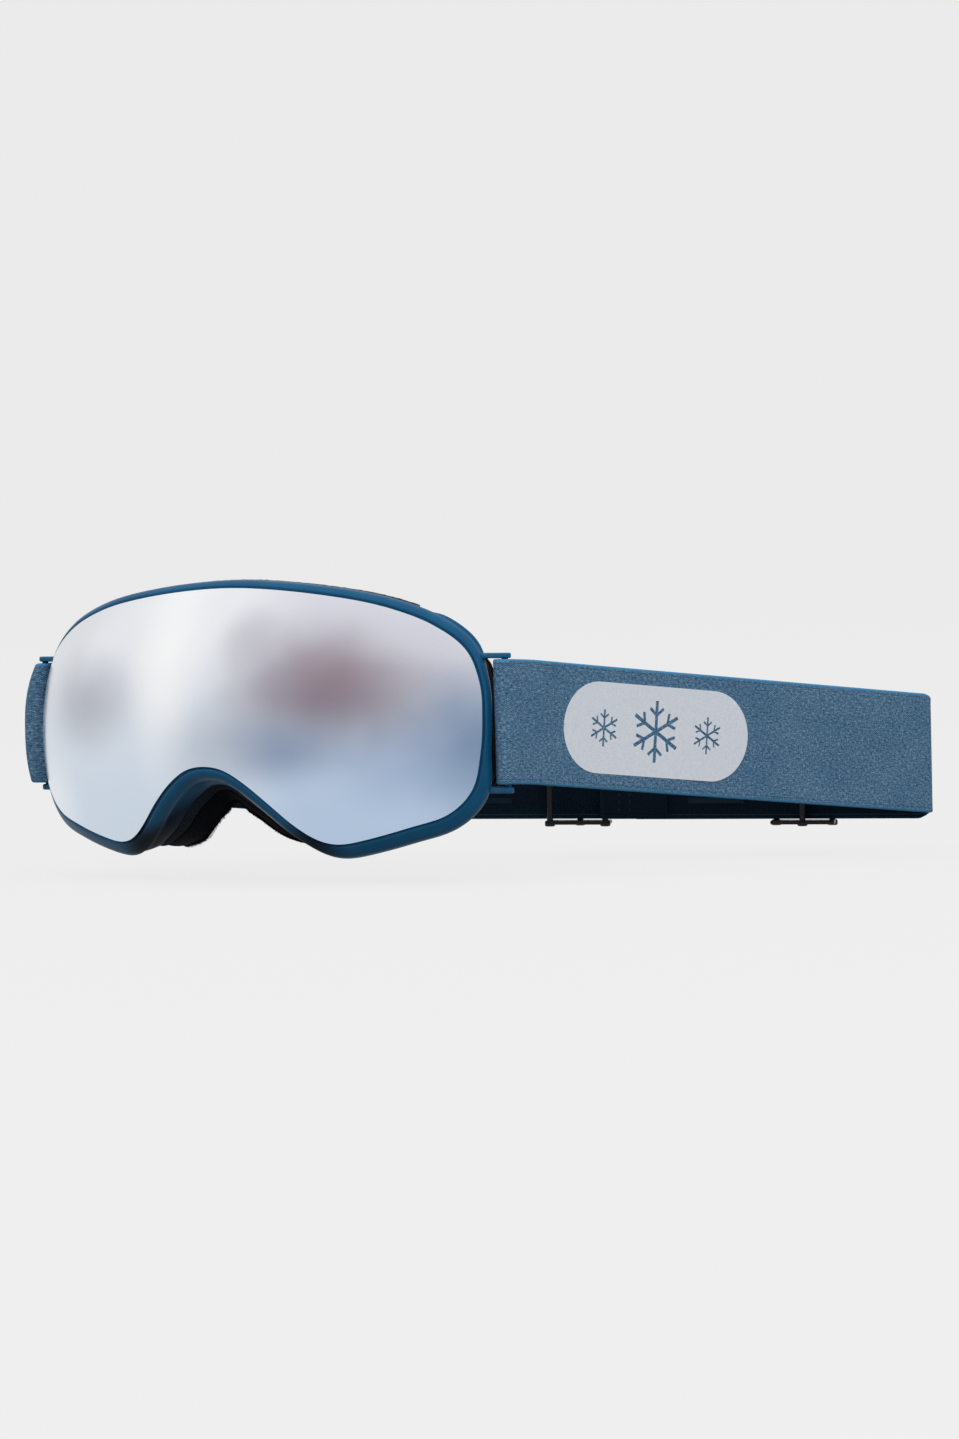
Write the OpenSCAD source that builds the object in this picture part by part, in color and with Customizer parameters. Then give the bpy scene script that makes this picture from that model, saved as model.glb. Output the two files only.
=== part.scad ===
// Ski goggles: cylindrical-spherical mirrored outer lens in a moulded frame,
// inner lens on a foam spacer, three-layer face foam, top vent foam, and a
// woven elastic strap looped round two frame bars, with two three-bar sliders.
// Millimetres. +X is the wearer's left, +Y runs back towards the head, +Z up.

/* [Lens] */
// Forward bulge radius term of the outer lens across its width
lens_w = 99; // [98:0.5:104]
// Depth of the wrap of the outer lens
lens_wrap = 58.8; // [54:0.2:60]
// Thickness of the outer lens
lens_t = 1.2; // [1.0:0.1:1.4]
// Thickness of the inner lens
inner_lens_t = 1.0; // [0.8:0.1:1.2]

/* [Frame] */
// Visible width of the rim along the top edge
rim_top = 4.6; // [4.2:0.1:5.0]
// Visible width of the rim at the temples
rim_side = 3.5; // [3.2:0.1:3.8]
// Visible width of the rim along the lower edge
rim_low = 6.2; // [5.8:0.1:6.6]
// Visible width of the rim round the nose
rim_nose = 4.6; // [4.2:0.1:5.0]
// Depth of the moulded body behind the rim
body_depth = 12; // [10:0.5:14]
// Width of the rear flange that carries the face foam
flange_w = 10; // [8:0.5:11]
// Diameter of the moulded strap bars
bar_d = 2.0; // [1.8:0.1:2.1]

/* [Face foam] */
// Thickness of the charcoal foam next to the frame
foam_base_t = 6.4; // [5:0.2:8]
// Thickness of the black foam
foam_core_t = 13.5; // [10:0.5:16]
// Thickness of the fleece against the face
fleece_t = 2.0; // [1.5:0.1:2.5]

/* [Strap] */
// Width of the elastic strap
strap_w = 38; // [36:0.5:39]
// Thickness of one ply of the strap
strap_t = 1.3; // [1.1:0.1:1.4]
// Length of the straight left side of the strap
near_len = 164; // [160:1:167]

/* [Display] */
// Sub-part to draw: all, or the name of one node

/* [Hidden] */
org = [25.56, 97.9, -43.19];
kz = 0.0071;
z0 = -7.2;
half = [[0,-14.2],[7.3,-15.4],[14.7,-19.8],[22,-26],[29,-32.6],[35.5,-37],[42,-38.4],[51.5,-36.7],
        [63.5,-33.4],[74.5,-29.6],[81.5,-22],[84.1,-10.5],[84.5,0],[83.4,10],[79,20.2],[69.7,27.6],
        [58,32.5],[43.7,36],[22,38.9],[0,40.1]];
nh = len(half);
ctl = concat(half, [for (i = [nh-2:-1:1]) [-half[i][0], half[i][1]]]);
nc = len(ctl);
function cp(i) = ctl[(i + nc) % nc];
function cr(i, t) = let(a = cp(i-1), b = cp(i), c = cp(i+1), d = cp(i+2))
  0.5 * (2*b + (c-a)*t + (2*a-5*b+4*c-d)*t*t + (3*b-a-3*c+d)*t*t*t);
stations = [for (i = [0:nc-1]) let(k = max(2, ceil(norm(cp(i+1)-cp(i))/7))) for (j = [0:k-1]) cr(i, j/k)];
ns = len(stations);
function st(i) = stations[(i + ns) % ns];

// lens surface and its slopes
function ys(x, z) = lens_wrap*(1 - sqrt(1 - pow(x/lens_w, 2))) + kz*pow(z - z0, 2);
function yx(x) = lens_wrap*x/(lens_w*lens_w)/sqrt(1 - pow(x/lens_w, 2));
function yz(z) = 2*kz*(z - z0);
function unit(v) = v/norm(v);
function clampv(x, a, b) = min(max(x, a), b);
// outward edge normal in the front plane
function en(i) = let(t = unit(st(i+1) - st(i-1))) [t[1], -t[0]];
// softened outward direction, fanned from a spine inside the lens
function sd(i) = let(p = st(i), c = [clampv(p[0], -38, 38), 3]) unit(p - c);
function lift(p, v) = unit([v[0], yx(p[0])*v[0] + yz(p[1])*v[1], v[1]]);
function nin(p) = unit([-yx(p[0]), 1, -yz(p[1])]);
function on(p) = [p[0], ys(p[0], p[1]), p[1]];
// point by offset o along the lens surface and depth d behind it
function pa(i, o, d) = let(p = st(i)) on(p) + lift(p, en(i))*o + nin(p)*d;
function pm(i, o, d) = let(p = st(i), m = sd(i), q = p + m*o) on(q) + nin(q)*d;
function ss(a, b, x) = let(t = clampv((x-a)/(b-a), 0, 1)) t*t*(3-2*t);
function mixv(a, b, t) = a + (b - a)*t;
function rimw(i) = let(p = st(i), z = p[1]) z > 0 ? mixv(rim_side, rim_top, ss(8, 28, z))
  : mixv(rim_side, mixv(rim_nose, rim_low, ss(32, 42, abs(p[0]))), ss(-8, -26, z) > 0 || abs(p[0]) < 60 ? max(ss(8, 26, -z), abs(p[0]) < 60 ? 1 : 0) : 0);
function nosew(i) = let(p = st(i)) p[1] < 0 ? 1 - ss(36, 54, abs(p[0])) : 0;
// the nose walls close in towards the face
function flare(i) = let(p = st(i), x = abs(p[0])) p[1] < 0 ? mixv(7.5, 9.5, ss(2, 10, x))*(1 - ss(22, 38, x)) : 0;
function taper(i) = 6.5 - 6.5*nosew(i);
// depth shortens towards the temples
function dk(i) = let(p = st(i), x = abs(p[0])) p[1] < 0 && x < 60 ? mixv(0.40, 0.77, ss(20, 46, x)) : 1 - 0.36*ss(25, 84, x);
full_depth = body_depth + foam_base_t + foam_core_t + fleece_t;
function shoulder(i) = let(p = st(i)) p[1] > 0 ? mixv(0.45, ss(62, 68, abs(p[0])), ss(14, 21, p[1])) : 0.45;
// point of the body by offsets from the back edge of the rim
function pb(i, o, w, y) = let(n = en(i), m = sd(i)) pa(i, rimw(i), 3.4) + [n[0]*o + m[0]*w, y, n[1]*o + m[1]*w];
function rear(i, w, y) = pb(i, -1.0 + flare(i)*(body_depth + y)/full_depth, -taper(i) - w, dk(i)*(body_depth + y));

module ring(rings) {
  n = len(rings); m = len(rings[0]);
  polyhedron([for (r = rings) for (p = r) p - org],
    [for (i = [0:n-1]) for (j = [0:m-1])
      let(a = i*m + j, b = i*m + (j+1)%m, c = ((i+1)%n)*m + (j+1)%m, d = ((i+1)%n)*m + j)
      each [[a,c,b],[a,d,c]]], convexity = 8);
}
module strip(rings) {
  n = len(rings); m = len(rings[0]);
  polyhedron([for (r = rings) for (p = r) p - org],
    concat([for (i = [0:n-2]) for (j = [0:m-1])
      let(a = i*m + j, b = i*m + (j+1)%m, c = (i+1)*m + (j+1)%m, d = (i+1)*m + j)
      each [[a,c,b],[a,d,c]]],
      [for (j = [1:m-2]) [0, j, j+1]],
      [for (j = [1:m-2]) [(n-1)*m, (n-1)*m+j+1, (n-1)*m+j]]), convexity = 8);
}
module shell(o, d0, d1, rr) {
  c = [0, 8];
  k = len(rr);
  function q(i, s, d) = let(p = st(i), m = sd(i), e = p + m*o, g = c + (e-c)*s) on(g) + nin(g)*d;
  pts = concat([for (s = rr) for (i = [0:ns-1]) q(i, s, d0)], [on(c) + nin(c)*d0],
               [for (s = rr) for (i = [0:ns-1]) q(i, s, d1)], [on(c) + nin(c)*d1]);
  b = k*ns + 1;
  polyhedron([for (p = pts) p - org], concat(
    [for (r = [0:k-2]) for (i = [0:ns-1]) let(u = r*ns + i, v = r*ns + (i+1)%ns) each [[u, u+ns, v],[v, u+ns, v+ns]]],
    [for (i = [0:ns-1]) [(k-1)*ns + i, k*ns, (k-1)*ns + (i+1)%ns]],
    [for (r = [0:k-2]) for (i = [0:ns-1]) let(u = b + r*ns + i, v = b + r*ns + (i+1)%ns) each [[u, v, u+ns],[v, v+ns, u+ns]]],
    [for (i = [0:ns-1]) [b + (k-1)*ns + i, b + (k-1)*ns + (i+1)%ns, b + k*ns]],
    [for (i = [0:ns-1]) let(j = (i+1)%ns) each [[i, j, b+i],[j, b+j, b+i]]]), convexity = 6);
}

// strap layout
bar = [88.5, 35.5];
zc = -2.2;
hw = strap_w/2;
arm_gap = 0.5;
na = 70.2;
ndir = [cos(na), sin(na)];
fa = 25.1;
fdir = [cos(fa), sin(fa)];
loop_s = 20;
near_drop = 0.104;
fold_r = 4;
pitch = 2*strap_t + 1.3 + 0.1;
near0 = bar + ndir*(loop_s + 0.35);
near1 = bar + ndir*near_len;
fold_c = near1 + fold_r*[-sin(na), cos(na)];
far1 = fold_c + fold_r*[cos(fa + 90), sin(fa + 90)];
function nearz(s) = -1.5 - near_drop*max(s, 0);
zrear = nearz(near_len);
far_drop = 0.013;
function farpt(s) = far1 - fdir*s;
function farz(s) = zrear - 2.2 + far_drop*s;
bpath = concat([for (s = [loop_s + 0.35 : (near_len - loop_s - 0.35)/8 : near_len + 0.001]) let(p = bar + ndir*s) [p[0], p[1], nearz(s)]],
  [for (a = [15:15:134.9]) let(q = fold_c + fold_r*[cos(na - 90 + a), sin(na - 90 + a)]) [q[0], q[1], zrear - 2.2*a/134.9]],
  [for (s = [0, 20, 40, 60, 75, 91]) let(p = farpt(s)) [p[0], p[1], farz(s)]]);
fn2 = [-fdir[1], fdir[0]];
function apt(s) = farpt(s) + fn2*pitch;
rdir = [cos(97), sin(97)];
rbar = [-bar[0], bar[1]];
acurve = [rbar + rdir*(-4), rbar + rdir*(loop_s + 0.35), rbar + rdir*36, [-84.5,80.5], [-70,91], apt(172), apt(140)];
az = [zc, zc - 2.0, zc - 4.8, zc - 7.8, zc - 10.4, farz(172), farz(140)];
function c3(k) = [acurve[k][0], acurve[k][1], az[k]];
function cr3(k, t) = let(a = c3(k-1), b = c3(k), c = c3(k+1), d = c3(k+2))
  0.5 * (2*b + (c-a)*t + (2*a-5*b+4*c-d)*t*t + (3*b-a-3*c+d)*t*t*t);
apath = concat([for (k = [1:4]) for (j = [0:6]) cr3(k, j/7)], [for (s = [172, 140, 100, 70, 57]) [apt(s)[0], apt(s)[1], farz(s)]]);
function hd(p, i) = let(n = len(p), a = p[max(i-1, 0)], b = p[min(i+1, n-1)]) unit([b[0]-a[0], b[1]-a[1]]);
module band(p, t, h, off = 0, dz = 0)
  strip([for (i = [0:len(p)-1]) let(d = hd(p, i), w = [-d[1], d[0]], c = [p[i][0], p[i][1]] + w*off)
    [[c[0]-w[0]*t/2, c[1]-w[1]*t/2, p[i][2]+dz-h/2], [c[0]+w[0]*t/2, c[1]+w[1]*t/2, p[i][2]+dz-h/2],
     [c[0]+w[0]*t/2, c[1]+w[1]*t/2, p[i][2]+dz+h/2], [c[0]-w[0]*t/2, c[1]-w[1]*t/2, p[i][2]+dz+h/2]]]);

// frame
module arm(z, h, a, b) translate([0, 0, z] - org) linear_extrude(h) {
  polygon([a, [bar[0], bar[1]-1.9], [bar[0], bar[1]+1.9], b]);
  translate(bar) circle(r = 1.9, $fn = 40);
}
module lug() {
  arm(zc + hw + arm_gap, 1.6, [78.2,32.4], [75.4,38.6]);
  arm(zc - hw - arm_gap - 1.8, 1.8, [80.2,32.0], [76.6,39.2]);
  translate([bar[0], bar[1], zc - hw - arm_gap - 1] - org) cylinder(d = bar_d, h = strap_w + 2*arm_gap + 2, $fn = 40);
}
module mx() translate([-org[0], 0, 0]) mirror([1,0,0]) translate([org[0], 0, 0]) children();
module frame() color([0.17,0.37,0.51]) {
  difference() {
    ring([for (i = [0:ns-1]) let(r = rimw(i), s = shoulder(i), t = taper(i), f = flange_w) [
      pm(i, -1.8, lens_t + 0.4), pa(i, 0.4, lens_t + 0.4), pa(i, 0.4, 1.0), pa(i, 1.2, 0.7), pa(i, r - 0.9, 1.1),
      pa(i, r, 2.2), pa(i, r, 3.4),
      pb(i, -1.6 + 2.6*s, 0, 1.0), pb(i, -1.6 + 2.6*s + 0.2*flare(i), -0.5*t, 0.55*body_depth*dk(i)), rear(i, 0, 0), rear(i, f, 0),
      rear(i, f, -1.8), rear(i, 2.4, -1.8), pb(i, -3.2, 0, 1.4), pm(i, -1.8, lens_t + 2.2)]]);
    for (x = [-48 : 16 : 48]) translate([x - 5, ys(x, 36) + 7.2, 22] - org) cube([10, 6, 30]);
  }
  lug();
  mx() lug();
}
module outer_lens() color([0.78,0.79,0.84]) shell(0, 0, lens_t, [1, 0.965, 0.92, 0.84, 0.72, 0.55, 0.36, 0.17]);
module inner_lens() color([0.75,0.65,0.60]) shell(-3, lens_t + 4.2, lens_t + 4.2 + inner_lens_t, [1, 0.93, 0.83, 0.65, 0.45, 0.2]);
module lens_spacer() color([0.08,0.08,0.09])
  ring([for (i = [0:ns-1]) [pm(i, -3, lens_t + 0.35), pm(i, -3, lens_t + 3.85), pm(i, -6, lens_t + 3.85), pm(i, -6, lens_t + 0.35)]]);
function lean(i, y) = (1 - nosew(i))*0.2*y - nosew(i)*0.06*y;
module layer(a, b, w0, w1) ring([for (i = [0:ns-1]) [rear(i, w0 + lean(i, a), a), rear(i, w0 + lean(i, b), b), rear(i, w1 + lean(i, b), b), rear(i, w1 + lean(i, a), a)]]);
module face_foam_base() color([0.12,0.14,0.18]) layer(0.35, foam_base_t, 0.2, flange_w);
module face_foam_core() color([0.03,0.03,0.04]) layer(foam_base_t + 0.35, foam_base_t + foam_core_t, 0.4, flange_w - 0.2);
module face_fleece() color([0.05,0.05,0.06]) layer(foam_base_t + foam_core_t + 0.35, foam_base_t + foam_core_t + fleece_t, 0.2, flange_w);
topst = [for (i = [0:ns-1]) if (st(i)[1] > 25 && abs(st(i)[0]) < 62.5) i];
module top_vent_foam() color([0.30,0.29,0.30])
  strip([for (i = topst) [pb(i, -1.15, 0, 1.25), pb(i, 0.7, 0, 0.9), pb(i, 0.9, -0.5*taper(i), 0.5*body_depth*dk(i)), pb(i, -1.15, -0.5*taper(i), 0.5*body_depth*dk(i))]]);

// strap loops round the bars
loop_r = 3.2;
module loop2d() {
  difference() {
    intersection() {
      union() {
        translate([-0.4, 0]) circle(r = loop_r, $fn = 48);
        polygon([[-0.4,-loop_r],[4.5,-loop_r],[12,-strap_t-0.1],[24,-strap_t-0.1],[24,strap_t+0.1],[12,strap_t+0.1],[4.5,loop_r],[-0.4,loop_r]]);
      }
      circle(r = loop_s, $fn = 96);
    }
    translate([-0.4, 0]) circle(r = loop_r - strap_t, $fn = 48);
    polygon([[-0.4,-loop_r+strap_t],[4.2,-loop_r+strap_t],[11,0],[4.2,loop_r-strap_t],[-0.4,loop_r-strap_t]]);
  }
}
module at_bar(b, a) translate([b[0], b[1], zc] - org) rotate(a) children();
module left_end_loop() color([0.26,0.38,0.48]) at_bar(bar, na) translate([0,0,-hw]) linear_extrude(strap_w) loop2d();
module right_end_loop() color([0.26,0.38,0.48]) at_bar(rbar, 97) translate([0,0,-hw]) linear_extrude(strap_w) loop2d();
module stitches() for (s = [12.5, 16.5]) for (n = [-1, 1]) for (k = [0:10])
  translate([s - 0.25, n*(strap_t + 0.35) - 0.15, -hw + 2.2 + k*(strap_w - 6.4)/10]) cube([0.5, 0.3, 2.0]);
module left_loop_stitching() color([0.30,0.44,0.55]) at_bar(bar, na) stitches();
module right_loop_stitching() color([0.30,0.44,0.55]) at_bar(rbar, 97) stitches();

// strap bands
module strap_left_band() color([0.26,0.39,0.50]) band(bpath, strap_t, strap_w);
module strap_right_band() color([0.12,0.20,0.29]) band(apath, strap_t, strap_w);
module edge(p, sgn) band(p, strap_t + 0.3, 1.6, 0, sgn*(hw - 0.2));

// sliders: placed on the straight far side, local x along the band
s1 = 110; s2 = 37;
slope = atan(far_drop);
module on_far(s) translate([farpt(s)[0], farpt(s)[1], farz(s)] - org) rotate([0, 0, fa]) rotate([0, slope, 0]) children();
bs = 9;
module slider(lay, mid) {
  zh = hw + 0.4;
  lo = min(lay, mid) - 1.2; hi = max(lay, mid) + 1.2;
  for (z = [-1, 1]) {
    translate([-bs - 1.2, lo, z > 0 ? zh : -zh - 1.2]) cube([2*bs + 2.4, hi - lo, 1.2]);
    for (x = [-bs, 0, bs]) translate([x, x == 0 ? mid : lay, z > 0 ? zh : -zh - 1.8]) cylinder(r = 1.7, h = 1.8, $fn = 32);
  }
  for (x = [-bs, 0, bs]) translate([x, x == 0 ? mid : lay, -zh - 0.5]) cylinder(r = 1.0, h = 2*zh + 1, $fn = 32);
}
midoff = strap_t/2 + 0.35 + 1.0;
module front_slider() color([0.02,0.03,0.05]) on_far(s1) slider(0, pitch + midoff);
module rear_slider() color([0.02,0.03,0.05]) on_far(s2) slider(pitch, -midoff);
leg = 20; lt = 0.7;
module tab2d() difference() {
  union() { circle(r = strap_t/2 + 0.35 + lt, $fn = 40); translate([0, -strap_t/2 - 0.35 - lt]) square([leg, strap_t + 0.7 + 2*lt]); }
  circle(r = strap_t/2 + 0.35, $fn = 40);
  translate([0, -strap_t/2 - 0.35]) square([leg + 1, strap_t + 0.7]);
}
module front_sewn_tab() color([0.10,0.20,0.31]) on_far(s1) translate([bs, 0, -hw]) linear_extrude(strap_w) tab2d();
module rear_sewn_tab() color([0.10,0.20,0.31]) on_far(s2) translate([-bs, pitch, -hw]) rotate(180) linear_extrude(strap_w) tab2d();
module tabst() for (s = [4.5, 8.0]) for (k = [0:10])
  translate([s - 0.25, -strap_t/2 - 0.35 - lt - 0.22, -hw + 2.2 + k*(strap_w - 6.4)/10]) cube([0.5, 0.22, 2.0]);
module front_tab_stitching() color([0.20,0.32,0.43]) on_far(s1) translate([bs, 0, 0]) tabst();
module rear_tab_stitching() color([0.20,0.32,0.43]) on_far(s2) translate([-bs, pitch, 0]) rotate(180) tabst();

// raised rubber patch with a snow crystal on the outer face of the left side
module crystal() for (a = [0:60:300]) rotate(a) {
  translate([-0.6, 0]) square([1.2, 9.5]);
  for (m = [-1, 1]) translate([0, 5]) rotate(m*50) translate([-0.5, 0]) square([1.0, 3.4]);
}
module strap_print() color([0.78,0.79,0.79])
  translate([bar[0] + ndir[0]*56, bar[1] + ndir[1]*56, nearz(56)] - org) rotate([0, 0, na]) rotate([0, atan(near_drop), 0])
  translate([0, -strap_t/2 - 0.02, 0]) rotate([90, 0, 0]) linear_extrude(0.35) difference() {
    union() { square([44, 28], center = true); for (x = [-22, 22]) translate([x, 0]) circle(r = 14, $fn = 64); }
    crystal();
    for (x = [-20, 20]) translate([x, 0]) scale([0.6, 0.6]) crystal();
  }
// silicone grip lines on the head side of the far band
module silicone_grip() color([0.07,0.16,0.25])
  for (z = [-13, 0, 13]) {
    on_far(66) translate([-8, -strap_t/2 - 0.22, z - 0.9]) cube([18, 0.2, 1.8]);
    on_far(140) translate([-6, pitch - strap_t/2 - 0.22, z - 0.9]) cube([14, 0.2, 1.8]);
  }

frame();
outer_lens();
lens_spacer();
inner_lens();
top_vent_foam();
face_foam_base();
face_foam_core();
face_fleece();
left_end_loop();
left_loop_stitching();
right_end_loop();
right_loop_stitching();
strap_left_band();
strap_right_band();
front_slider();
rear_slider();
front_sewn_tab();
rear_sewn_tab();
front_tab_stitching();
rear_tab_stitching();
strap_print();
silicone_grip();
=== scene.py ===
import bpy
import bmesh
import math
import numpy as np
from mathutils import Matrix, Vector


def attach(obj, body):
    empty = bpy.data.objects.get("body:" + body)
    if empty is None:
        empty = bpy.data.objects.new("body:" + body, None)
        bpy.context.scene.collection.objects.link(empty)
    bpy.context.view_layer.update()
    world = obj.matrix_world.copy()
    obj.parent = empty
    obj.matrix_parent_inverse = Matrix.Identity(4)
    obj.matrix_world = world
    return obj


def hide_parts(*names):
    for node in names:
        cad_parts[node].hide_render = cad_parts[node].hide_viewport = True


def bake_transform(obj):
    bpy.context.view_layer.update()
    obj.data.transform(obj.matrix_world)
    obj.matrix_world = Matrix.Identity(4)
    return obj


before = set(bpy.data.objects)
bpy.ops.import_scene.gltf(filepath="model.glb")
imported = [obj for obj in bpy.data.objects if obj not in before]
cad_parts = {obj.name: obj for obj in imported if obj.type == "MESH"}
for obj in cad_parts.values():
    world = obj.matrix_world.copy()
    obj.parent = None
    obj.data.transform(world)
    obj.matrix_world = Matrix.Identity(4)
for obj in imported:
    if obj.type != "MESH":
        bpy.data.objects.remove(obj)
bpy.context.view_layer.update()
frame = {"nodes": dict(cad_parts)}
rng = np.random.default_rng(7)
ORG = np.array([25.56, 97.9, -43.19])


def rad(d):
    return math.radians(d)


# ---------------------------------------------------------------- camera
def make_camera():
    a, e, r = rad(34.5), rad(2.0), rad(1.41)
    right0 = np.array([math.cos(a), math.sin(a), 0])
    fwd = np.array([-math.sin(a) * math.cos(e), math.cos(a) * math.cos(e), -math.sin(e)])
    up0 = np.array([-math.sin(a) * math.sin(e), math.cos(a) * math.sin(e), math.cos(e)])
    right = math.cos(r) * right0 - math.sin(r) * up0
    up = math.sin(r) * right0 + math.cos(r) * up0
    c = (-(-84.97 * right - 0.295 * up + 1842.7 * fwd) - ORG) / 1000
    data = bpy.data.cameras.new("camera")
    cam = bpy.data.objects.new("camera", data)
    bpy.context.scene.collection.objects.link(cam)
    m = Matrix.Identity(4)
    for i in range(3):
        m[i][0], m[i][1], m[i][2], m[i][3] = right[i], up[i], -fwd[i], c[i]
    cam.matrix_world = m
    data.sensor_fit = "AUTO"
    data.sensor_width = 36
    data.lens = 36 * 3.2736 * 1842.7 / 1439
    data.clip_start, data.clip_end = 0.05, 60
    bpy.context.scene.camera = cam


make_camera()


# ---------------------------------------------------------------- geometry helpers
def add_obj(name, mesh, mat=None, smooth=True, sharp=None):
    o = bpy.data.objects.new(name, mesh)
    bpy.context.scene.collection.objects.link(o)
    if mat:
        mesh.materials.append(mat)
    if smooth:
        mesh.shade_smooth()
        if sharp:
            mesh.set_sharp_from_angle(angle=rad(sharp))
    return o


def mesh_from(name, verts, faces):
    me = bpy.data.meshes.new(name)
    me.from_pydata([tuple(v) for v in np.asarray(verts, float).reshape(-1, 3)], [], [tuple(int(k) for k in f) for f in faces])
    me.update()
    return me


def to_row(p):
    return (np.asarray(p, float) - ORG) / 1000


def grid_faces(n, m, close_n=False, close_m=False, flip=False):
    i = np.arange(n if close_n else n - 1)
    j = np.arange(m if close_m else m - 1)
    ii, jj = np.meshgrid(i, j, indexing="ij")
    a = ii * m + jj
    b = ii * m + (jj + 1) % m
    c = ((ii + 1) % n) * m + (jj + 1) % m
    d = ((ii + 1) % n) * m + jj
    f = np.stack([a, b, c, d], -1).reshape(-1, 4)
    return f[:, ::-1] if flip else f


def set_uv(mesh, uv_per_vertex, name="band"):
    layer = mesh.uv_layers.new(name=name)
    idx = np.zeros(len(mesh.loops), int)
    mesh.loops.foreach_get("vertex_index", idx)
    layer.data.foreach_set("uv", np.asarray(uv_per_vertex, np.float32)[idx].ravel())


def set_attr(mesh, name, values):
    at = mesh.attributes.new(name, "FLOAT", "POINT")
    at.data.foreach_set("value", np.asarray(values, np.float32))


def join_meshes(name, parts):
    verts, faces, base = [], [], 0
    for v, f in parts:
        v = np.asarray(v, float).reshape(-1, 3)
        verts.append(v)
        faces += [tuple(int(k) + base for k in q) for q in f]
        base += len(v)
    return mesh_from(name, np.concatenate(verts), faces)


# ---------------------------------------------------------------- materials
class Mat:
    def __init__(self, name):
        self.m = bpy.data.materials.new(name)
        self.m.use_nodes = True
        self.t = self.m.node_tree
        self.t.nodes.clear()
        self.out = self.t.nodes.new("ShaderNodeOutputMaterial")
        self.b = self.t.nodes.new("ShaderNodeBsdfPrincipled")
        self.t.links.new(self.b.outputs[0], self.out.inputs[0])

    def n(self, kind, **kw):
        node = self.t.nodes.new("ShaderNode" + kind)
        for k, v in kw.items():
            setattr(node, k, v)
        return node

    def put(self, socket, value):
        if isinstance(value, bpy.types.NodeSocket):
            self.t.links.new(value, socket)
        else:
            socket.default_value = value

    def math(self, op, a, b=0.0, clamp=False):
        node = self.n("Math", operation=op, use_clamp=clamp)
        self.put(node.inputs[0], a)
        self.put(node.inputs[1], b)
        return node.outputs[0]

    def remap(self, v, a, b, c, d):
        node = self.n("MapRange")
        node.interpolation_type = "SMOOTHSTEP"
        for k, x in enumerate((v, a, b, c, d)):
            self.put(node.inputs[k], x)
        return node.outputs[0]

    def obj(self):
        return self.n("TexCoord").outputs["Object"]

    def uv(self, name="band"):
        return self.n("UVMap", uv_map=name).outputs[0]

    def attr(self, name):
        return self.n("Attribute", attribute_name=name).outputs["Fac"]

    def scaled(self, vec, s, off=(0, 0, 0)):
        node = self.n("Mapping")
        self.put(node.inputs["Vector"], vec)
        node.inputs["Scale"].default_value = s
        node.inputs["Location"].default_value = off
        return node.outputs[0]

    def xyz(self, vec):
        node = self.n("SeparateXYZ")
        self.put(node.inputs[0], vec)
        return node.outputs

    def noise(self, vec, scale, detail=3.0, rough=0.6, dist=0.0):
        node = self.n("TexNoise")
        self.put(node.inputs["Vector"], vec)
        node.inputs["Scale"].default_value = scale
        node.inputs["Detail"].default_value = detail
        node.inputs["Roughness"].default_value = rough
        node.inputs["Distortion"].default_value = dist
        return node.outputs["Fac"]

    def cells(self, vec, scale, out="Distance", rnd=1.0):
        node = self.n("TexVoronoi")
        self.put(node.inputs["Vector"], vec)
        node.inputs["Scale"].default_value = scale
        node.inputs["Randomness"].default_value = rnd
        return node.outputs[out]

    def mix(self, f, a, b, blend="MIX"):
        node = self.n("Mix", data_type="RGBA", blend_type=blend)
        self.put(node.inputs[0], f)
        self.put(node.inputs[6], a if not isinstance(a, tuple) else (*a, 1)[:4])
        self.put(node.inputs[7], b if not isinstance(b, tuple) else (*b, 1)[:4])
        return node.outputs[2]

    def bump(self, height, strength, distance, normal=None):
        node = self.n("Bump")
        node.inputs["Strength"].default_value = strength
        node.inputs["Distance"].default_value = distance
        self.put(node.inputs["Height"], height)
        if normal is not None:
            self.put(node.inputs["Normal"], normal)
        return node.outputs[0]

    def set(self, **kw):
        names = {"color": "Base Color", "rough": "Roughness", "metal": "Metallic", "normal": "Normal", "sheen": "Sheen Weight",
                 "sheen_rough": "Sheen Roughness", "sheen_tint": "Sheen Tint", "coat": "Coat Weight", "coat_rough": "Coat Roughness",
                 "spec": "Specular IOR Level", "ior": "IOR", "trans": "Transmission Weight", "alpha": "Alpha",
                 "sss": "Subsurface Weight", "emit": "Emission Color", "emit_s": "Emission Strength"}
        for k, v in kw.items():
            self.put(self.b.inputs[names[k]], v)
        return self


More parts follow.
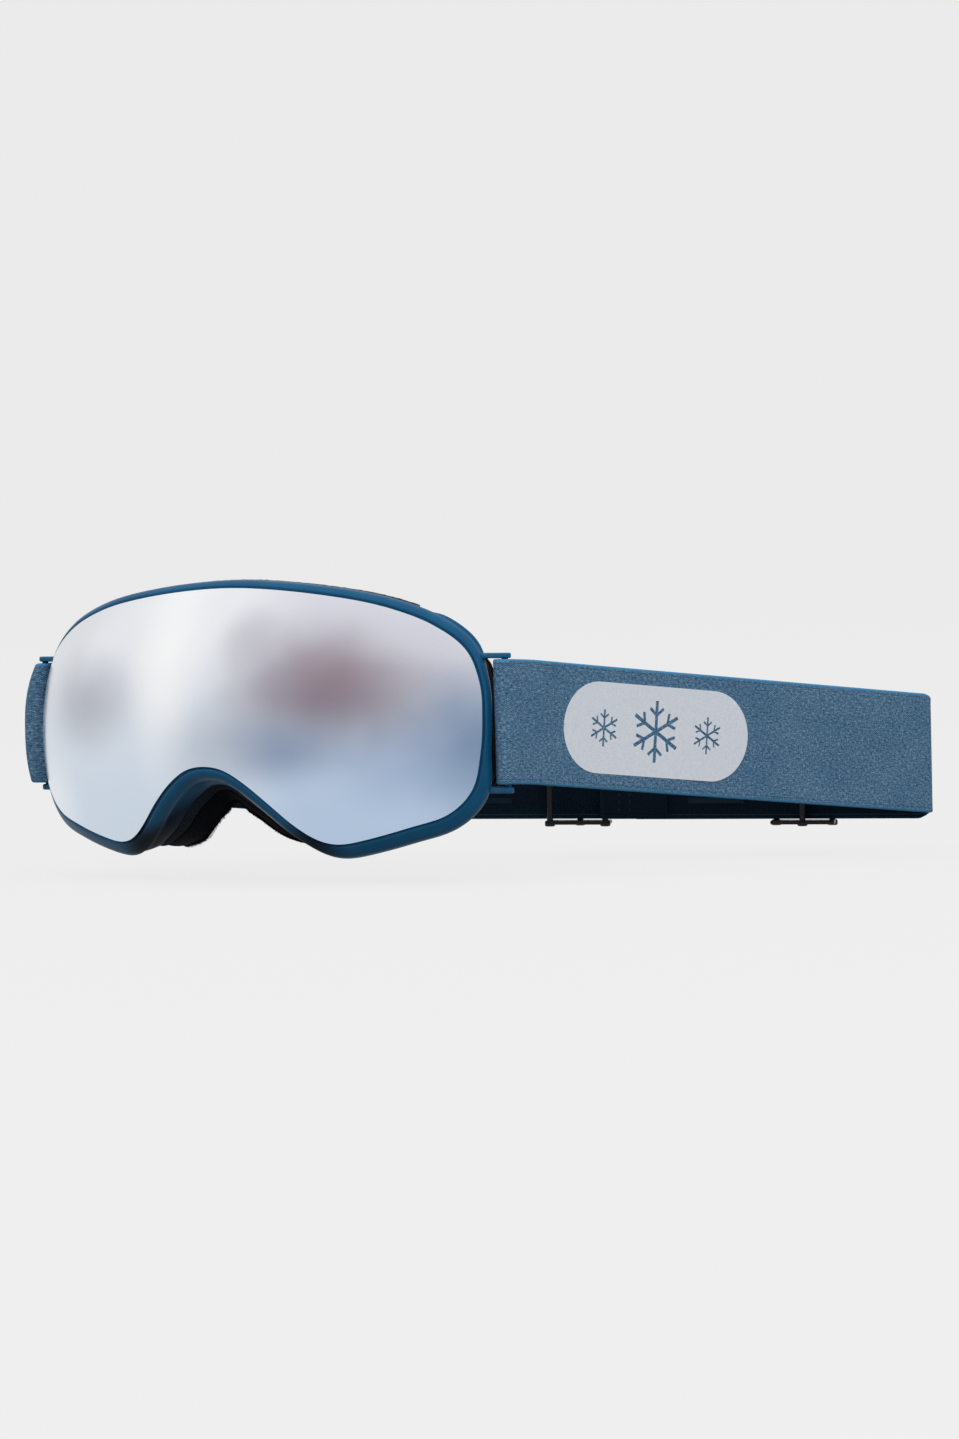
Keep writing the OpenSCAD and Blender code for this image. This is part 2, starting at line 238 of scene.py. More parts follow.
def mat_frame():
    m = Mat("frame_tpu")
    o = m.obj()
    big = m.noise(m.scaled(o, (1000, 1000, 1000)), 0.05, 3)
    fine = m.noise(m.scaled(o, (1000, 1000, 1000)), 2.6, 2, 0.5)
    geo = m.n("NewGeometry")
    edge = m.remap(geo.outputs["Pointiness"], 0.50, 0.60, 0.0, 1.0)
    col = m.mix(m.remap(big, 0.35, 0.65, 0, 1), (0.004, 0.075, 0.170), (0.008, 0.092, 0.200))
    plain = col
    col = m.mix(m.math("MULTIPLY", edge, 0.45), col, (0.045, 0.18, 0.32))
    # painted shade: behind the rim the nose walls are darkened to deep navy, where the frame's flank lies in shadow
    mm = m.scaled(o, (1000, 1000, 1000))
    x, y, z = m.xyz(mm)[0:3]
    lx = m.math("ABSOLUTE", m.math("ADD", x, float(ORG[0])))
    ly = m.math("ADD", y, float(ORG[1]))
    lz = m.math("ADD", z, float(ORG[2]))
    nose_wall_shade = m.math("MULTIPLY", m.remap(ly, 6.0, 11.0, 0, 1), m.remap(lx, 30, 46, 1, 0))
    nose_wall_shade = m.math("MULTIPLY", nose_wall_shade, m.remap(lz, -12, -2, 1, 0))
    col = m.mix(nose_wall_shade, col, m.mix(0.45, plain, (0.0, 0.0, 0.0)))
    col = m.mix(m.math("MULTIPLY", nose_wall_shade, 0.9), col, (0.0006, 0.010, 0.030))
    # painted shade: lower down the nose walls go almost black
    nose_low_shade = m.math("MULTIPLY", nose_wall_shade, m.remap(lz, -36, -20, 1, 0))
    col = m.mix(m.math("MULTIPLY", nose_low_shade, 0.9), col, (0.0004, 0.0016, 0.0036))
    m.set(color=col, rough=m.math("ADD", m.remap(fine, 0.3, 0.7, 0.28, 0.42), m.math("MULTIPLY", nose_wall_shade, 0.42)), spec=0.12, coat=0.0, coat_rough=0.35, sss=0.0,
          normal=m.bump(fine, 0.12, 0.00006))
    return m.m


def mat_lens():
    """Silver mirror coating whose colours are painted reflections fixed to the lens: lighter at the top, mauve in the
    middle and blue towards the lower edge.
    """
    m = Mat("mirror_lens")
    o = m.obj()
    mm = m.scaled(o, (1000, 1000, 1000))
    x, y, z = m.xyz(mm)[0:3]
    lx = m.math("ADD", x, float(ORG[0]))   # millimetres from the middle of the lens
    lz = m.math("ADD", z, float(ORG[2]))
    drift = m.math("SUBTRACT", m.noise(mm, 0.03, 2), 0.5)

    def reflection_patch(cx, cz, rx, rz, soft=1.0):
        dx = m.math("DIVIDE", m.math("SUBTRACT", lx, cx), rx)
        dz = m.math("DIVIDE", m.math("SUBTRACT", lz, cz), rz)
        d = m.math("ADD", m.math("MULTIPLY", dx, dx), m.math("MULTIPLY", dz, dz))
        d = m.math("ADD", m.math("SQRT", d), m.math("MULTIPLY", drift, 0.35))
        return m.remap(d, 0.0, 1.0, 1.0, 0.0)

    # painted reflection: lighter towards the top and bluer towards the bottom
    col = m.mix(m.remap(lz, -34, 30, 0, 1), (0.66, 0.75, 0.86), (0.84, 0.86, 0.90))
    # painted reflections: a darker right half, with a mauve middle and a blue-grey lower part, then lighter and darker
    # patches and a white streak at the upper left
    right = m.remap(lx, 2, 36, 0.0, 1.0)
    col = m.mix(m.math("MULTIPLY", right, 0.60), col, m.mix(m.remap(lz, -30, 22, 0, 1), (0.40, 0.55, 0.78), (0.62, 0.61, 0.70)))
    col = m.mix(m.math("MULTIPLY", reflection_patch(42, 8, 52, 30), 1.0), col, (0.248, 0.225, 0.278))
    col = m.mix(m.math("MULTIPLY", reflection_patch(44, 14, 32, 17), 0.42), col, (0.34, 0.225, 0.26))
    col = m.mix(m.math("MULTIPLY", reflection_patch(28, -10, 36, 15), 0.75), col, (0.235, 0.315, 0.46))
    col = m.mix(m.math("MULTIPLY", reflection_patch(84, -8, 26, 34), 0.85), col, (0.16, 0.25, 0.40))
    col = m.mix(m.math("MULTIPLY", reflection_patch(62, -15, 30, 20), 0.42), col, (0.24, 0.36, 0.56))
    col = m.mix(m.math("MULTIPLY", reflection_patch(-52, 5, 34, 20), 0.75), col, (0.42, 0.43, 0.50))
    col = m.mix(m.math("MULTIPLY", reflection_patch(66, 24, 24, 12), 0.60), col, (0.66, 0.68, 0.74))
    col = m.mix(m.math("MULTIPLY", reflection_patch(2, -8, 26, 22), 0.55), col, (0.44, 0.49, 0.58))
    col = m.mix(m.math("MULTIPLY", reflection_patch(14, 24, 16, 14), 0.6), col, (0.52, 0.51, 0.58))
    col = m.mix(m.math("MULTIPLY", reflection_patch(-17, 22, 19, 48), 0.9), col, (0.98, 0.98, 0.98))
    col = m.mix(m.math("MULTIPLY", reflection_patch(-76, -26, 22, 22), 0.8), col, (0.86, 0.90, 0.96))
    fine = m.noise(mm, 6.0, 2)
    m.set(color=col, metal=1.0, rough=m.remap(m.noise(mm, 0.06, 2), 0.3, 0.7, 0.20, 0.26), coat=0.25, coat_rough=0.05,
          normal=m.bump(fine, 0.02, 0.00002))
    return m.m


def mat_foam(name, dark, light, pore, depth, sheen=0.04, warm=(0.5, 0.5, 0.55)):
    m = Mat(name)
    mm = m.scaled(m.obj(), (1000, 1000, 1000))
    cell = m.cells(mm, pore)
    big = m.noise(mm, 0.12, 4)
    fine = m.noise(mm, 5.0, 3, 0.7)
    col = m.mix(m.remap(cell, 0.1, 0.7, 0, 1), dark, light)
    col = m.mix(m.math("MULTIPLY", m.remap(big, 0.3, 0.7, 0, 1), 0.35), col, tuple(c * 1.6 for c in light))
    h = m.math("ADD", cell, m.math("MULTIPLY", fine, 0.5))
    m.set(color=col, rough=m.remap(fine, 0.3, 0.7, 0.90, 1.0), spec=0.04, sheen=sheen, sheen_rough=0.6,
          sheen_tint=(*warm, 1), normal=m.bump(h, 0.65, depth))
    return m.m


def mat_web(name, deep, mid, light, inner_shaded_deep, inner_shaded_mid, edge):
    """Flecked elastic webbing: fine ribs, a fleck of light and dark threads, and lighter selvedges."""
    m = Mat(name)
    u, v = m.xyz(m.uv())[0:2]
    uv = m.uv()
    side = m.attr("side")
    fleck1 = m.noise(m.scaled(uv, (0.85, 1.9, 1)), 1.0, 2, 0.6)
    fleck2 = m.noise(m.scaled(uv, (2.0, 0.9, 1), (31, 7, 0)), 1.0, 2, 0.6)
    fleck3 = m.noise(m.scaled(uv, (2.6, 2.6, 1), (5, 90, 0)), 1.0, 2, 0.6)
    broad = m.noise(m.scaled(uv, (0.06, 0.10, 1)), 1.0, 3)
    f = m.math("ADD", m.math("MULTIPLY", fleck1, 0.5), m.math("MULTIPLY", fleck2, 0.3))
    f = m.math("ADD", f, m.math("MULTIPLY", fleck3, 0.2))
    f = m.math("ADD", f, m.math("MULTIPLY", m.math("SUBTRACT", broad, 0.5), 0.10))
    outer = m.mix(m.remap(f, 0.40, 0.50, 0, 1), deep, mid)
    outer = m.mix(m.remap(f, 0.51, 0.61, 0, 1), outer, light)
    # painted shade: the inner face is a near-black navy, standing in for the shadow it lies in
    inner_shaded = m.mix(m.remap(f, 0.40, 0.62, 0, 1), inner_shaded_deep, inner_shaded_mid)
    col = m.mix(side, inner_shaded, outer)
    av = m.math("ABSOLUTE", v)
    selv = m.remap(av, 17.9, 18.5, 0.0, 1.0)
    selv_u = m.math("MULTIPLY", selv, m.math("ADD", m.math("MULTIPLY", side, 0.9), 0.06))
    col = m.mix(selv_u, col, edge)
    groove = m.math("SUBTRACT", 1.0, m.remap(m.math("ABSOLUTE", m.math("SUBTRACT", av, 17.5)), 0.0, 0.3, 0.0, 1.0))
    # painted shade: the groove beside each selvedge is also darkened in colour
    col = m.mix(m.math("MULTIPLY", groove, 0.35), col, deep)
    ru = m.math("SINE", m.math("MULTIPLY", u, 2 * math.pi / 0.95))
    rv = m.math("SINE", m.math("MULTIPLY", v, 2 * math.pi / 0.62))
    weave = m.math("MULTIPLY", ru, rv)
    h = m.math("ADD", m.math("MULTIPLY", weave, 0.45), m.math("MULTIPLY", ru, 0.25))
    h = m.math("ADD", h, m.math("MULTIPLY", f, 1.6))
    h = m.math("SUBTRACT", h, m.math("MULTIPLY", groove, 0.8))
    # painted shade: the low points of the weave are darkened
    col = m.mix(m.remap(weave, -1.0, -0.2, 0.22, 0.0), col, deep)
    m.set(color=col, rough=m.remap(f, 0.3, 0.7, 0.80, 0.96), spec=0.10, sheen=0.02, sheen_rough=0.55,
          sheen_tint=(0.6, 0.75, 0.95, 1), normal=m.bump(h, 0.7, 0.0002))
    return m.m


def mat_thread(name="thread", deep=(0.035, 0.098, 0.178), light=(0.075, 0.165, 0.265)):
    m = Mat(name)
    mm = m.scaled(m.obj(), (1000, 1000, 1000))
    w = m.math("SINE", m.math("MULTIPLY", m.math("ADD", m.xyz(mm)[2], m.xyz(mm)[0]), 14.0))
    f = m.noise(mm, 4.0, 2)
    col = m.mix(f, deep, light)
    m.set(color=col, rough=m.remap(f, 0.3, 0.7, 0.6, 0.8), spec=0.12, sheen=0.04, normal=m.bump(w, 0.4, 0.00008))
    return m.m


def mat_slider():
    m = Mat("slider_plastic")
    mm = m.scaled(m.obj(), (1000, 1000, 1000))
    f = m.noise(mm, 1.4, 4, 0.6)
    edge = m.remap(m.n("NewGeometry").outputs["Pointiness"], 0.52, 0.62, 0.0, 1.0)
    col = m.mix(m.math("MULTIPLY", edge, 0.5), m.mix(f, (0.0035, 0.0045, 0.007), (0.008, 0.010, 0.014)), (0.014, 0.017, 0.022))
    m.set(color=col, rough=m.remap(f, 0.3, 0.7, 0.22, 0.36), spec=0.18, normal=m.bump(m.noise(mm, 3.0, 2), 0.1, 0.00005))
    return m.m


def mat_print():
    m = Mat("print_rubber")
    mm = m.scaled(m.obj(), (1000, 1000, 1000))
    f = m.noise(mm, 1.2, 5, 0.7)
    crack = m.cells(mm, 1.9)
    grain = m.noise(mm, 5.0, 2)
    col = m.mix(m.remap(f, 0.3, 0.7, 0, 1), (0.69, 0.735, 0.81), (0.77, 0.81, 0.88))
    col = m.mix(m.remap(crack, 0.0, 0.18, 0.25, 0.0), col, (0.42, 0.46, 0.50))
    m.set(color=col, rough=m.remap(grain, 0.3, 0.7, 0.55, 0.72), spec=0.35, normal=m.bump(m.math("ADD", grain, crack), 0.3, 0.0001))
    return m.m


def mat_grip():
    m = Mat("grip_rubber")
    mm = m.scaled(m.obj(), (1000, 1000, 1000))
    f = m.noise(mm, 2.0, 3)
    col = m.mix(f, (0.002, 0.008, 0.018), (0.005, 0.016, 0.032))
    m.set(color=col, rough=m.remap(f, 0.3, 0.7, 0.3, 0.45), spec=0.12, coat=0.0, coat_rough=0.2, normal=m.bump(f, 0.3, 0.00012))
    return m.m


def mat_inner_lens():
    m = Mat("inner_lens")
    mm = m.scaled(m.obj(), (1000, 1000, 1000))
    f = m.noise(mm, 0.05, 2)
    col = m.mix(f, (0.82, 0.70, 0.62), (0.88, 0.78, 0.70))
    m.set(color=col, rough=m.remap(f, 0.3, 0.7, 0.03, 0.07), trans=0.85, ior=1.25, spec=0.5, normal=m.bump(m.noise(mm, 0.4, 2), 0.03, 0.00005))
    return m.m


def mat_lens_back():
    m = Mat("mirror_lens_inside")
    mm = m.scaled(m.obj(), (1000, 1000, 1000))
    z = m.xyz(mm)[2]
    f = m.noise(mm, 0.05, 2)
    col = m.mix(m.remap(z, 5, 80, 0, 1), (0.16, 0.085, 0.060), (0.24, 0.15, 0.11))
    col = m.mix(m.math("MULTIPLY", f, 0.4), col, (0.30, 0.17, 0.11))
    m.set(color=col, metal=0.75, rough=m.remap(f, 0.3, 0.7, 0.12, 0.2), coat=0.4, coat_rough=0.04)
    return m.m


M_FRAME = mat_frame()
M_LENS = mat_lens()
M_LENS_BACK = mat_lens_back()
M_INNER = mat_inner_lens()
M_CHAR = mat_foam("charcoal_foam", (0.007, 0.010, 0.017), (0.020, 0.026, 0.038), 1.6, 0.00025)
M_BLACK = mat_foam("black_foam", (0.0016, 0.0018, 0.0026), (0.0045, 0.005, 0.007), 1.3, 0.00030, 0.015)
M_FLEECE = mat_foam("fleece", (0.0022, 0.0024, 0.003), (0.0055, 0.006, 0.008), 2.6, 0.00035, 0.02)
M_SPACER = mat_foam("spacer_foam", (0.003, 0.003, 0.0035), (0.008, 0.008, 0.009), 2.2, 0.0002, 0.02)
M_VENT = mat_foam("vent_foam", (0.035, 0.032, 0.033), (0.105, 0.098, 0.100), 0.95, 0.0005, 0.05)
# painted shade: the fourth and fifth colours, for the inner face, are near black
M_WEB = mat_web("strap_webbing", (0.034, 0.104, 0.198), (0.092, 0.196, 0.318), (0.215, 0.335, 0.475),
                (0.0006, 0.0026, 0.0065), (0.0018, 0.0070, 0.0150), (0.060, 0.245, 0.450))
M_TAB = mat_web("tab_webbing", (0.003, 0.014, 0.030), (0.008, 0.028, 0.054), (0.016, 0.046, 0.082),
                (0.0015, 0.006, 0.012), (0.003, 0.010, 0.020), (0.012, 0.060, 0.120))
M_THREAD = mat_thread()
M_THREAD_DARK = mat_thread("thread_dark", (0.004, 0.012, 0.024), (0.010, 0.026, 0.046))
M_SLIDER = mat_slider()
M_PRINT = mat_print()
M_GRIP = mat_grip()

# ---------------------------------------------------------------- goggle body, in millimetres
LW, WRAP, LT, ILT = 99.0, 58.8, 1.2, 1.0
RIM_TOP, RIM_SIDE, RIM_LOW, RIM_NOSE = 4.6, 3.5, 6.2, 4.6
BD, FW = 12.0, 10.0
BASE_T, CORE_T, FLEECE_T = 6.4, 13.5, 2.0
FULL = BD + BASE_T + CORE_T + FLEECE_T
KZ, Z0 = 0.0071, -7.2
HALF = [[0, -14.2], [7.3, -15.4], [14.7, -19.8], [22, -26], [29, -32.6], [35.5, -37], [42, -38.4], [51.5, -36.7],
        [63.5, -33.4], [74.5, -29.6], [81.5, -22], [84.1, -10.5], [84.5, 0], [83.4, 10], [79, 20.2], [69.7, 27.6],
        [58, 32.5], [43.7, 36], [22, 38.9], [0, 40.1]]
CTL = np.array(HALF + [[-x, z] for x, z in HALF[-2:0:-1]], float)


def closed_curve(ctl, n, sigma_mm):
    m = len(ctl)
    out = []
    for i in range(m):
        a, b, c, d = (ctl[(i + k) % m] for k in (-1, 0, 1, 2))
        t = np.linspace(0, 1, 60, endpoint=False)[:, None]
        out.append(0.5 * (2 * b + (c - a) * t + (2 * a - 5 * b + 4 * c - d) * t**2 + (3 * b - a - 3 * c + d) * t**3))
    p = np.concatenate(out)
    q = np.vstack([p, p[:1]])
    s = np.concatenate([[0], np.cumsum(np.linalg.norm(np.diff(q, axis=0), axis=1))])
    u = np.linspace(0, s[-1], n, endpoint=False)
    r = np.stack([np.interp(u, s, q[:, k]) for k in (0, 1)], 1)
    step = s[-1] / n
    k = int(4 * sigma_mm / step) + 1
    w = np.exp(-0.5 * (np.arange(-k, k + 1) * step / sigma_mm) ** 2)
    w /= w.sum()
    sm = sum(w[j + k] * np.roll(r, -j, axis=0) for j in range(-k, k + 1))
    return sm


NS = 460
ST = closed_curve(CTL, NS, 1.6)


def unit(v):
    return v / np.linalg.norm(v, axis=-1, keepdims=True)


def sst(a, b, x):
    t = np.clip((x - a) / (b - a), 0, 1)
    return t * t * (3 - 2 * t)


def mixv(a, b, t):
    return a + (b - a) * t


def ys(x, z):
    return WRAP * (1 - np.sqrt(1 - (x / LW) ** 2)) + KZ * (z - Z0) ** 2


def yx(x):
    return WRAP * x / LW**2 / np.sqrt(1 - (x / LW) ** 2)


def yz(z):
    return 2 * KZ * (z - Z0)


TG = unit(np.roll(ST, -2, 0) - np.roll(ST, 2, 0))
EN = np.stack([TG[:, 1], -TG[:, 0]], 1)
SD = unit(ST - np.stack([np.clip(ST[:, 0], -38, 38), np.full(NS, 3.0)], 1))
PX, PZ = ST[:, 0], ST[:, 1]
AX = np.abs(PX)


def on(p):
    return np.stack([p[:, 0], ys(p[:, 0], p[:, 1]), p[:, 1]], 1)


def nin(p):
    return unit(np.stack([-yx(p[:, 0]), np.ones(len(p)), -yz(p[:, 1])], 1))


def lift(p, v):
    return unit(np.stack([v[:, 0], yx(p[:, 0]) * v[:, 0] + yz(p[:, 1]) * v[:, 1], v[:, 1]], 1))


def col(v):
    return np.broadcast_to(np.asarray(v, float), (NS,))[:, None]


def pa(o, d):
    return on(ST) + lift(ST, EN) * col(o) + nin(ST) * col(d)


def pm(o, d):
    q = ST + SD * col(o)
    return on(q) + nin(q) * col(d)


low_mix = np.where((sst(-8, -26, PZ) > 0) | (AX < 60), np.maximum(sst(8, 26, -PZ), (AX < 60) * 1.0), 0.0)
RIMW = np.where(PZ > 0, mixv(RIM_SIDE, RIM_TOP, sst(8, 28, PZ)), mixv(RIM_SIDE, mixv(RIM_NOSE, RIM_LOW, sst(32, 42, AX)), low_mix))
NOSE = np.where(PZ < 0, 1 - sst(36, 54, AX), 0.0)
FLARE = np.where(PZ < 0, mixv(7.5, 9.5, sst(2, 10, AX)) * (1 - sst(22, 38, AX)), 0.0)
TAPER = 6.5 - 6.5 * NOSE
DK = np.where((PZ < 0) & (AX < 60), mixv(0.40, 0.77, sst(20, 46, AX)), 1 - 0.36 * sst(25, 84, AX))
SHOULDER = np.where(PZ > 0, mixv(0.45, sst(62, 68, AX), sst(14, 21, PZ)), 0.45)


def soften(v, mm=2.5):
    """Evens a per-station number out along the edge."""
    step = np.linalg.norm(np.diff(ST, axis=0), axis=1).mean()
    k = int(3 * mm / step) + 1
    w = np.exp(-0.5 * (np.arange(-k, k + 1) * step / mm) ** 2)
    w /= w.sum()
    return sum(w[j + k] * np.roll(v, -j, axis=0) for j in range(-k, k + 1))


RIMW, NOSE, FLARE, TAPER, DK, SHOULDER = (soften(v) for v in (RIMW, NOSE, FLARE, TAPER, DK, SHOULDER))


def pb(o, w, y):
    base = pa(RIMW, 3.4)
    o, w, y = col(o), col(w), col(y)
    return base + np.concatenate([EN[:, :1] * o + SD[:, :1] * w, y + 0 * o, EN[:, 1:] * o + SD[:, 1:] * w], 1)


def rear(w, y):
    return pb(-1.0 + FLARE * (BD + y) / FULL, -TAPER - w, DK * (BD + y))


def lean(y):
    return (1 - NOSE) * 0.2 * y - NOSE * 0.06 * y


def rounded(points, radii, k=5):
    """A closed section with each corner replaced by a short curve."""
    n = len(points)
    out = []
    for j in range(n):
        a, b, c = points[j - 1], points[j], points[(j + 1) % n]
        la = np.linalg.norm(a - b, axis=1, keepdims=True)
        lc = np.linalg.norm(c - b, axis=1, keepdims=True)
        r = np.minimum(radii[j], 0.46 * np.minimum(la, lc))
        p, q = b + (a - b) / la * r, b + (c - b) / lc * r
        for t in np.linspace(0, 1, k):
            out.append((1 - t) ** 2 * p + 2 * t * (1 - t) * b + t * t * q)
    return np.stack(out, 1)  # stations, points, 3


def ring_mesh(name, sec):
    n, m = sec.shape[:2]
    return mesh_from(name, to_row(sec.reshape(-1, 3)), grid_faces(n, m, True, True))


def outward(mesh):
    bm = bmesh.new()
    bm.from_mesh(mesh)
    bmesh.ops.recalc_face_normals(bm, faces=bm.faces)
    bm.to_mesh(mesh)
    bm.free()
    mesh.update()


def rounded_box(cx, cy, cz, sx, sy, sz, bevel=0.3, seg=3, rot=None):
    """A box with soft edges, in millimetres, as (vertices, faces)."""
    bm = bmesh.new()
    bmesh.ops.create_cube(bm, size=1.0)
    bmesh.ops.scale(bm, vec=(sx, sy, sz), verts=bm.verts)
    bmesh.ops.bevel(bm, geom=list(bm.edges), offset=bevel, segments=seg, profile=0.5, affect="EDGES")
    bmesh.ops.translate(bm, vec=(cx, cy, cz), verts=bm.verts)
    v = [tuple(p.co) for p in bm.verts]
    f = [[q.index for q in face.verts] for face in bm.faces]
    bm.free()
    return np.array(v), f


def cyl(x, y, z0, z1, r, seg=28, bevel=0.25):
    """An upright round bar with softened ends."""
    prof = [(r - bevel, z0), (r - 0.3 * bevel, z0 + 0.3 * bevel), (r, z0 + bevel), (r, z1 - bevel), (r - 0.3 * bevel, z1 - 0.3 * bevel), (r - bevel, z1)]
    v = [(x, y, z0)]
    for pr, pz in prof:
        v += [(x + pr * math.cos(t), y + pr * math.sin(t), pz) for t in np.linspace(0, 2 * math.pi, seg, endpoint=False)]
    v.append((x, y, z1))
    f = [[0, 1 + (k + 1) % seg, 1 + k] for k in range(seg)]
    for j in range(len(prof) - 1):
        for k in range(seg):
            a, b = 1 + j * seg + k, 1 + j * seg + (k + 1) % seg
            f.append([a, b, b + seg, a + seg])
    last = 1 + (len(prof) - 1) * seg
    f += [[last + k, last + (k + 1) % seg, len(v) - 1] for k in range(seg)]
    return np.array(v), f


def prism(outline, z0, z1, bevel=0.45):
    """A flat outline pushed up from z0 to z1 with rounded top and bottom edges."""
    bm = bmesh.new()
    vs = [bm.verts.new((x, y, z0)) for x, y in outline]
    face = bm.faces.new(vs)
    got = bmesh.ops.extrude_face_region(bm, geom=[face])
    bmesh.ops.translate(bm, vec=(0, 0, z1 - z0), verts=[g for g in got["geom"] if isinstance(g, bmesh.types.BMVert)])
    flat = [e for e in bm.edges if abs(e.verts[0].co.z - e.verts[1].co.z) < 1e-6]
    bmesh.ops.bevel(bm, geom=flat, offset=bevel, segments=3, profile=0.5, affect="EDGES")
    bmesh.ops.recalc_face_normals(bm, faces=bm.faces)
    bm.verts.index_update()
    v = np.array([tuple(p.co) for p in bm.verts])
    f = [[q.index for q in fc.verts] for fc in bm.faces]
    bm.free()
    return v, f


BAR = np.array([88.5, 35.5])
ZC, HW, GAP = -2.2, 19.0, 0.5
WEB_T = 1.3


def boolean(target, cutter, op="DIFFERENCE"):
    mod = target.modifiers.new("cut", "BOOLEAN")
    mod.operation = op
    mod.solver = "EXACT"
    mod.object = cutter
    dg = bpy.context.evaluated_depsgraph_get()
    done = bpy.data.meshes.new_from_object(target.evaluated_get(dg))
    target.modifiers.clear()
    old = target.data
    target.data = done
    bpy.data.meshes.remove(old)
    bpy.data.objects.remove(cutter)


def build_frame():
    r, s, t = RIMW, SHOULDER, TAPER
    pts = [pm(-1.8, LT + 0.4), pa(0.4, LT + 0.4), pa(0.4, 1.15), pa(1.15, 0.25), pa(r - 1.4, 0.75), pa(r, 2.5), pa(r, 3.4),
           pb(-1.6 + 2.6 * s, 0, 1.0), pb(-1.6 + 2.6 * s + 0.2 * FLARE, -0.5 * t, 0.55 * BD * DK), rear(0, 0), rear(FW, 0),
           rear(FW, -1.8), rear(2.4, -1.8), pb(-3.2, 0, 1.4), pm(-1.8, LT + 2.2)]
    rad_c = [0.2, 0.15, 0.3, 0.6, 1.6, 1.0, 1.2, 1.6, 3.5, 0.6, 0.5, 0.6, 1.5, 0.8, 0.3]
    me = ring_mesh("frame_shell", rounded(pts, rad_c, 5))
    outward(me)
    body = add_obj("frame_shell", me, M_FRAME)
    cuts = []
    for x in range(-48, 49, 16):
        y = float(ys(np.array(x + 0.0), np.array(36.0))) + 7.2
        v, f = rounded_box(x, y + 3.9, 37, 10, 4.2, 30, 1.1, 4)
        cuts.append(((v - ORG) / 1000, f))
    cut = add_obj("cut", join_meshes("cut", cuts))
    boolean(body, cut)
    body.data.materials.clear()
    body.data.materials.append(M_FRAME)
    body.data.shade_smooth()
    body.data.set_sharp_from_angle(angle=rad(38))
    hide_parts("frame")
    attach(body, "goggle")
    for side in (1, -1):
        parts = []
        for z0, h, a, b in ((ZC + HW + GAP, 1.6, (78.2, 32.4), (75.4, 38.6)), (ZC - HW - GAP - 1.8, 1.8, (80.2, 32.0), (76.6, 39.2))):
            line = [a]
            for ang in np.linspace(-90, 90, 17):
                line.append((BAR[0] + 1.9 * math.cos(rad(ang)), BAR[1] + 1.9 * math.sin(rad(ang))))
            line.append(b)
            v, f = prism([(side * px, py) for px, py in (line if side > 0 else line[::-1])], z0, z0 + h)
            parts.append(((v - ORG) / 1000, f))
        v, f = cyl(side * BAR[0], BAR[1], ZC - HW - GAP - 1, ZC + HW + GAP + 1, 1.0)
        parts.append(((v - ORG) / 1000, f))
        lug = add_obj("frame_lug_left" if side > 0 else "frame_lug_right", join_meshes("lug", parts), M_FRAME, True, 40)
        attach(lug, "goggle")
    # a fine bead behind the lens edge
    bead = ring_mesh("rim_bead", rounded([pa(0.05, 1.25), pa(0.22, 0.95), pa(0.62, 1.05), pa(0.62, 1.4)], [0.15] * 4, 3))
    outward(bead)
    o = add_obj("frame_rim_bead", bead, M_FRAME)
    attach(o, "goggle")


def radial(name, o, d_front, d_back, mat_front, mat_back, edge=0.3):
    """A lens sheet: rings that close in on the middle, a softened rim, and the back face."""
    c = np.array([0.0, 8.0])
    e = ST + SD * col(o)
    levels = [1.0 - 0.25 * edge / 40] + list(np.linspace(0.992, 0.02, 44))
    front, back = [], []
    for s in levels:
        g = c + (e - c) * s
        front.append(on(g) + nin(g) * d_front)
        back.append(on(g) + nin(g) * d_back)
    rim_a = on(e) + nin(e) * (d_front + edge * 0.35)
    rim_b = on(e) + nin(e) * (d_back - edge * 0.35)
    cf = on(c[None]) + nin(c[None]) * d_front
    cb = on(c[None]) + nin(c[None]) * d_back
    rows = back[::-1] + [rim_b, rim_a] + front
    v = np.concatenate(rows + [cf, cb])
    n = len(rows)
    f = [tuple(q) for q in grid_faces(n, NS, False, True)]
    last = (n - 1) * NS
    f += [(last + k, last + (k + 1) % NS, n * NS) for k in range(NS)]
    f += [((k + 1) % NS, k, n * NS + 1) for k in range(NS)]
    me = mesh_from(name, to_row(v), f)
    outward(me)
    ob = add_obj(name, me, mat_front, True, 50)
    me.materials.append(mat_back)
    mi = np.zeros(len(me.polygons), int)
    split = (len(back)) * NS
    mi[:split] = 1
    mi[-NS:] = 1
    me.polygons.foreach_set("material_index", mi)
    return ob


def build_lenses():
    o = radial("outer_lens_skin", 0, 0.0, LT, M_LENS, M_LENS_BACK)
    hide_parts("outer_lens")
    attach(o, "goggle")
    i = radial("inner_lens_sheet", -3, LT + 4.2, LT + 4.2 + ILT, M_INNER, M_INNER)
    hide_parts("inner_lens")
    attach(i, "goggle")
    me = ring_mesh("spacer", rounded([pm(-3, LT + 0.1), pm(-3, LT + 4.15), pm(-6, LT + 4.15), pm(-6, LT + 0.1)], [0.4] * 4, 4))
    outward(me)
    s = add_obj("lens_spacer_foam", me, M_SPACER)
    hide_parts("lens_spacer")
    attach(s, "goggle")


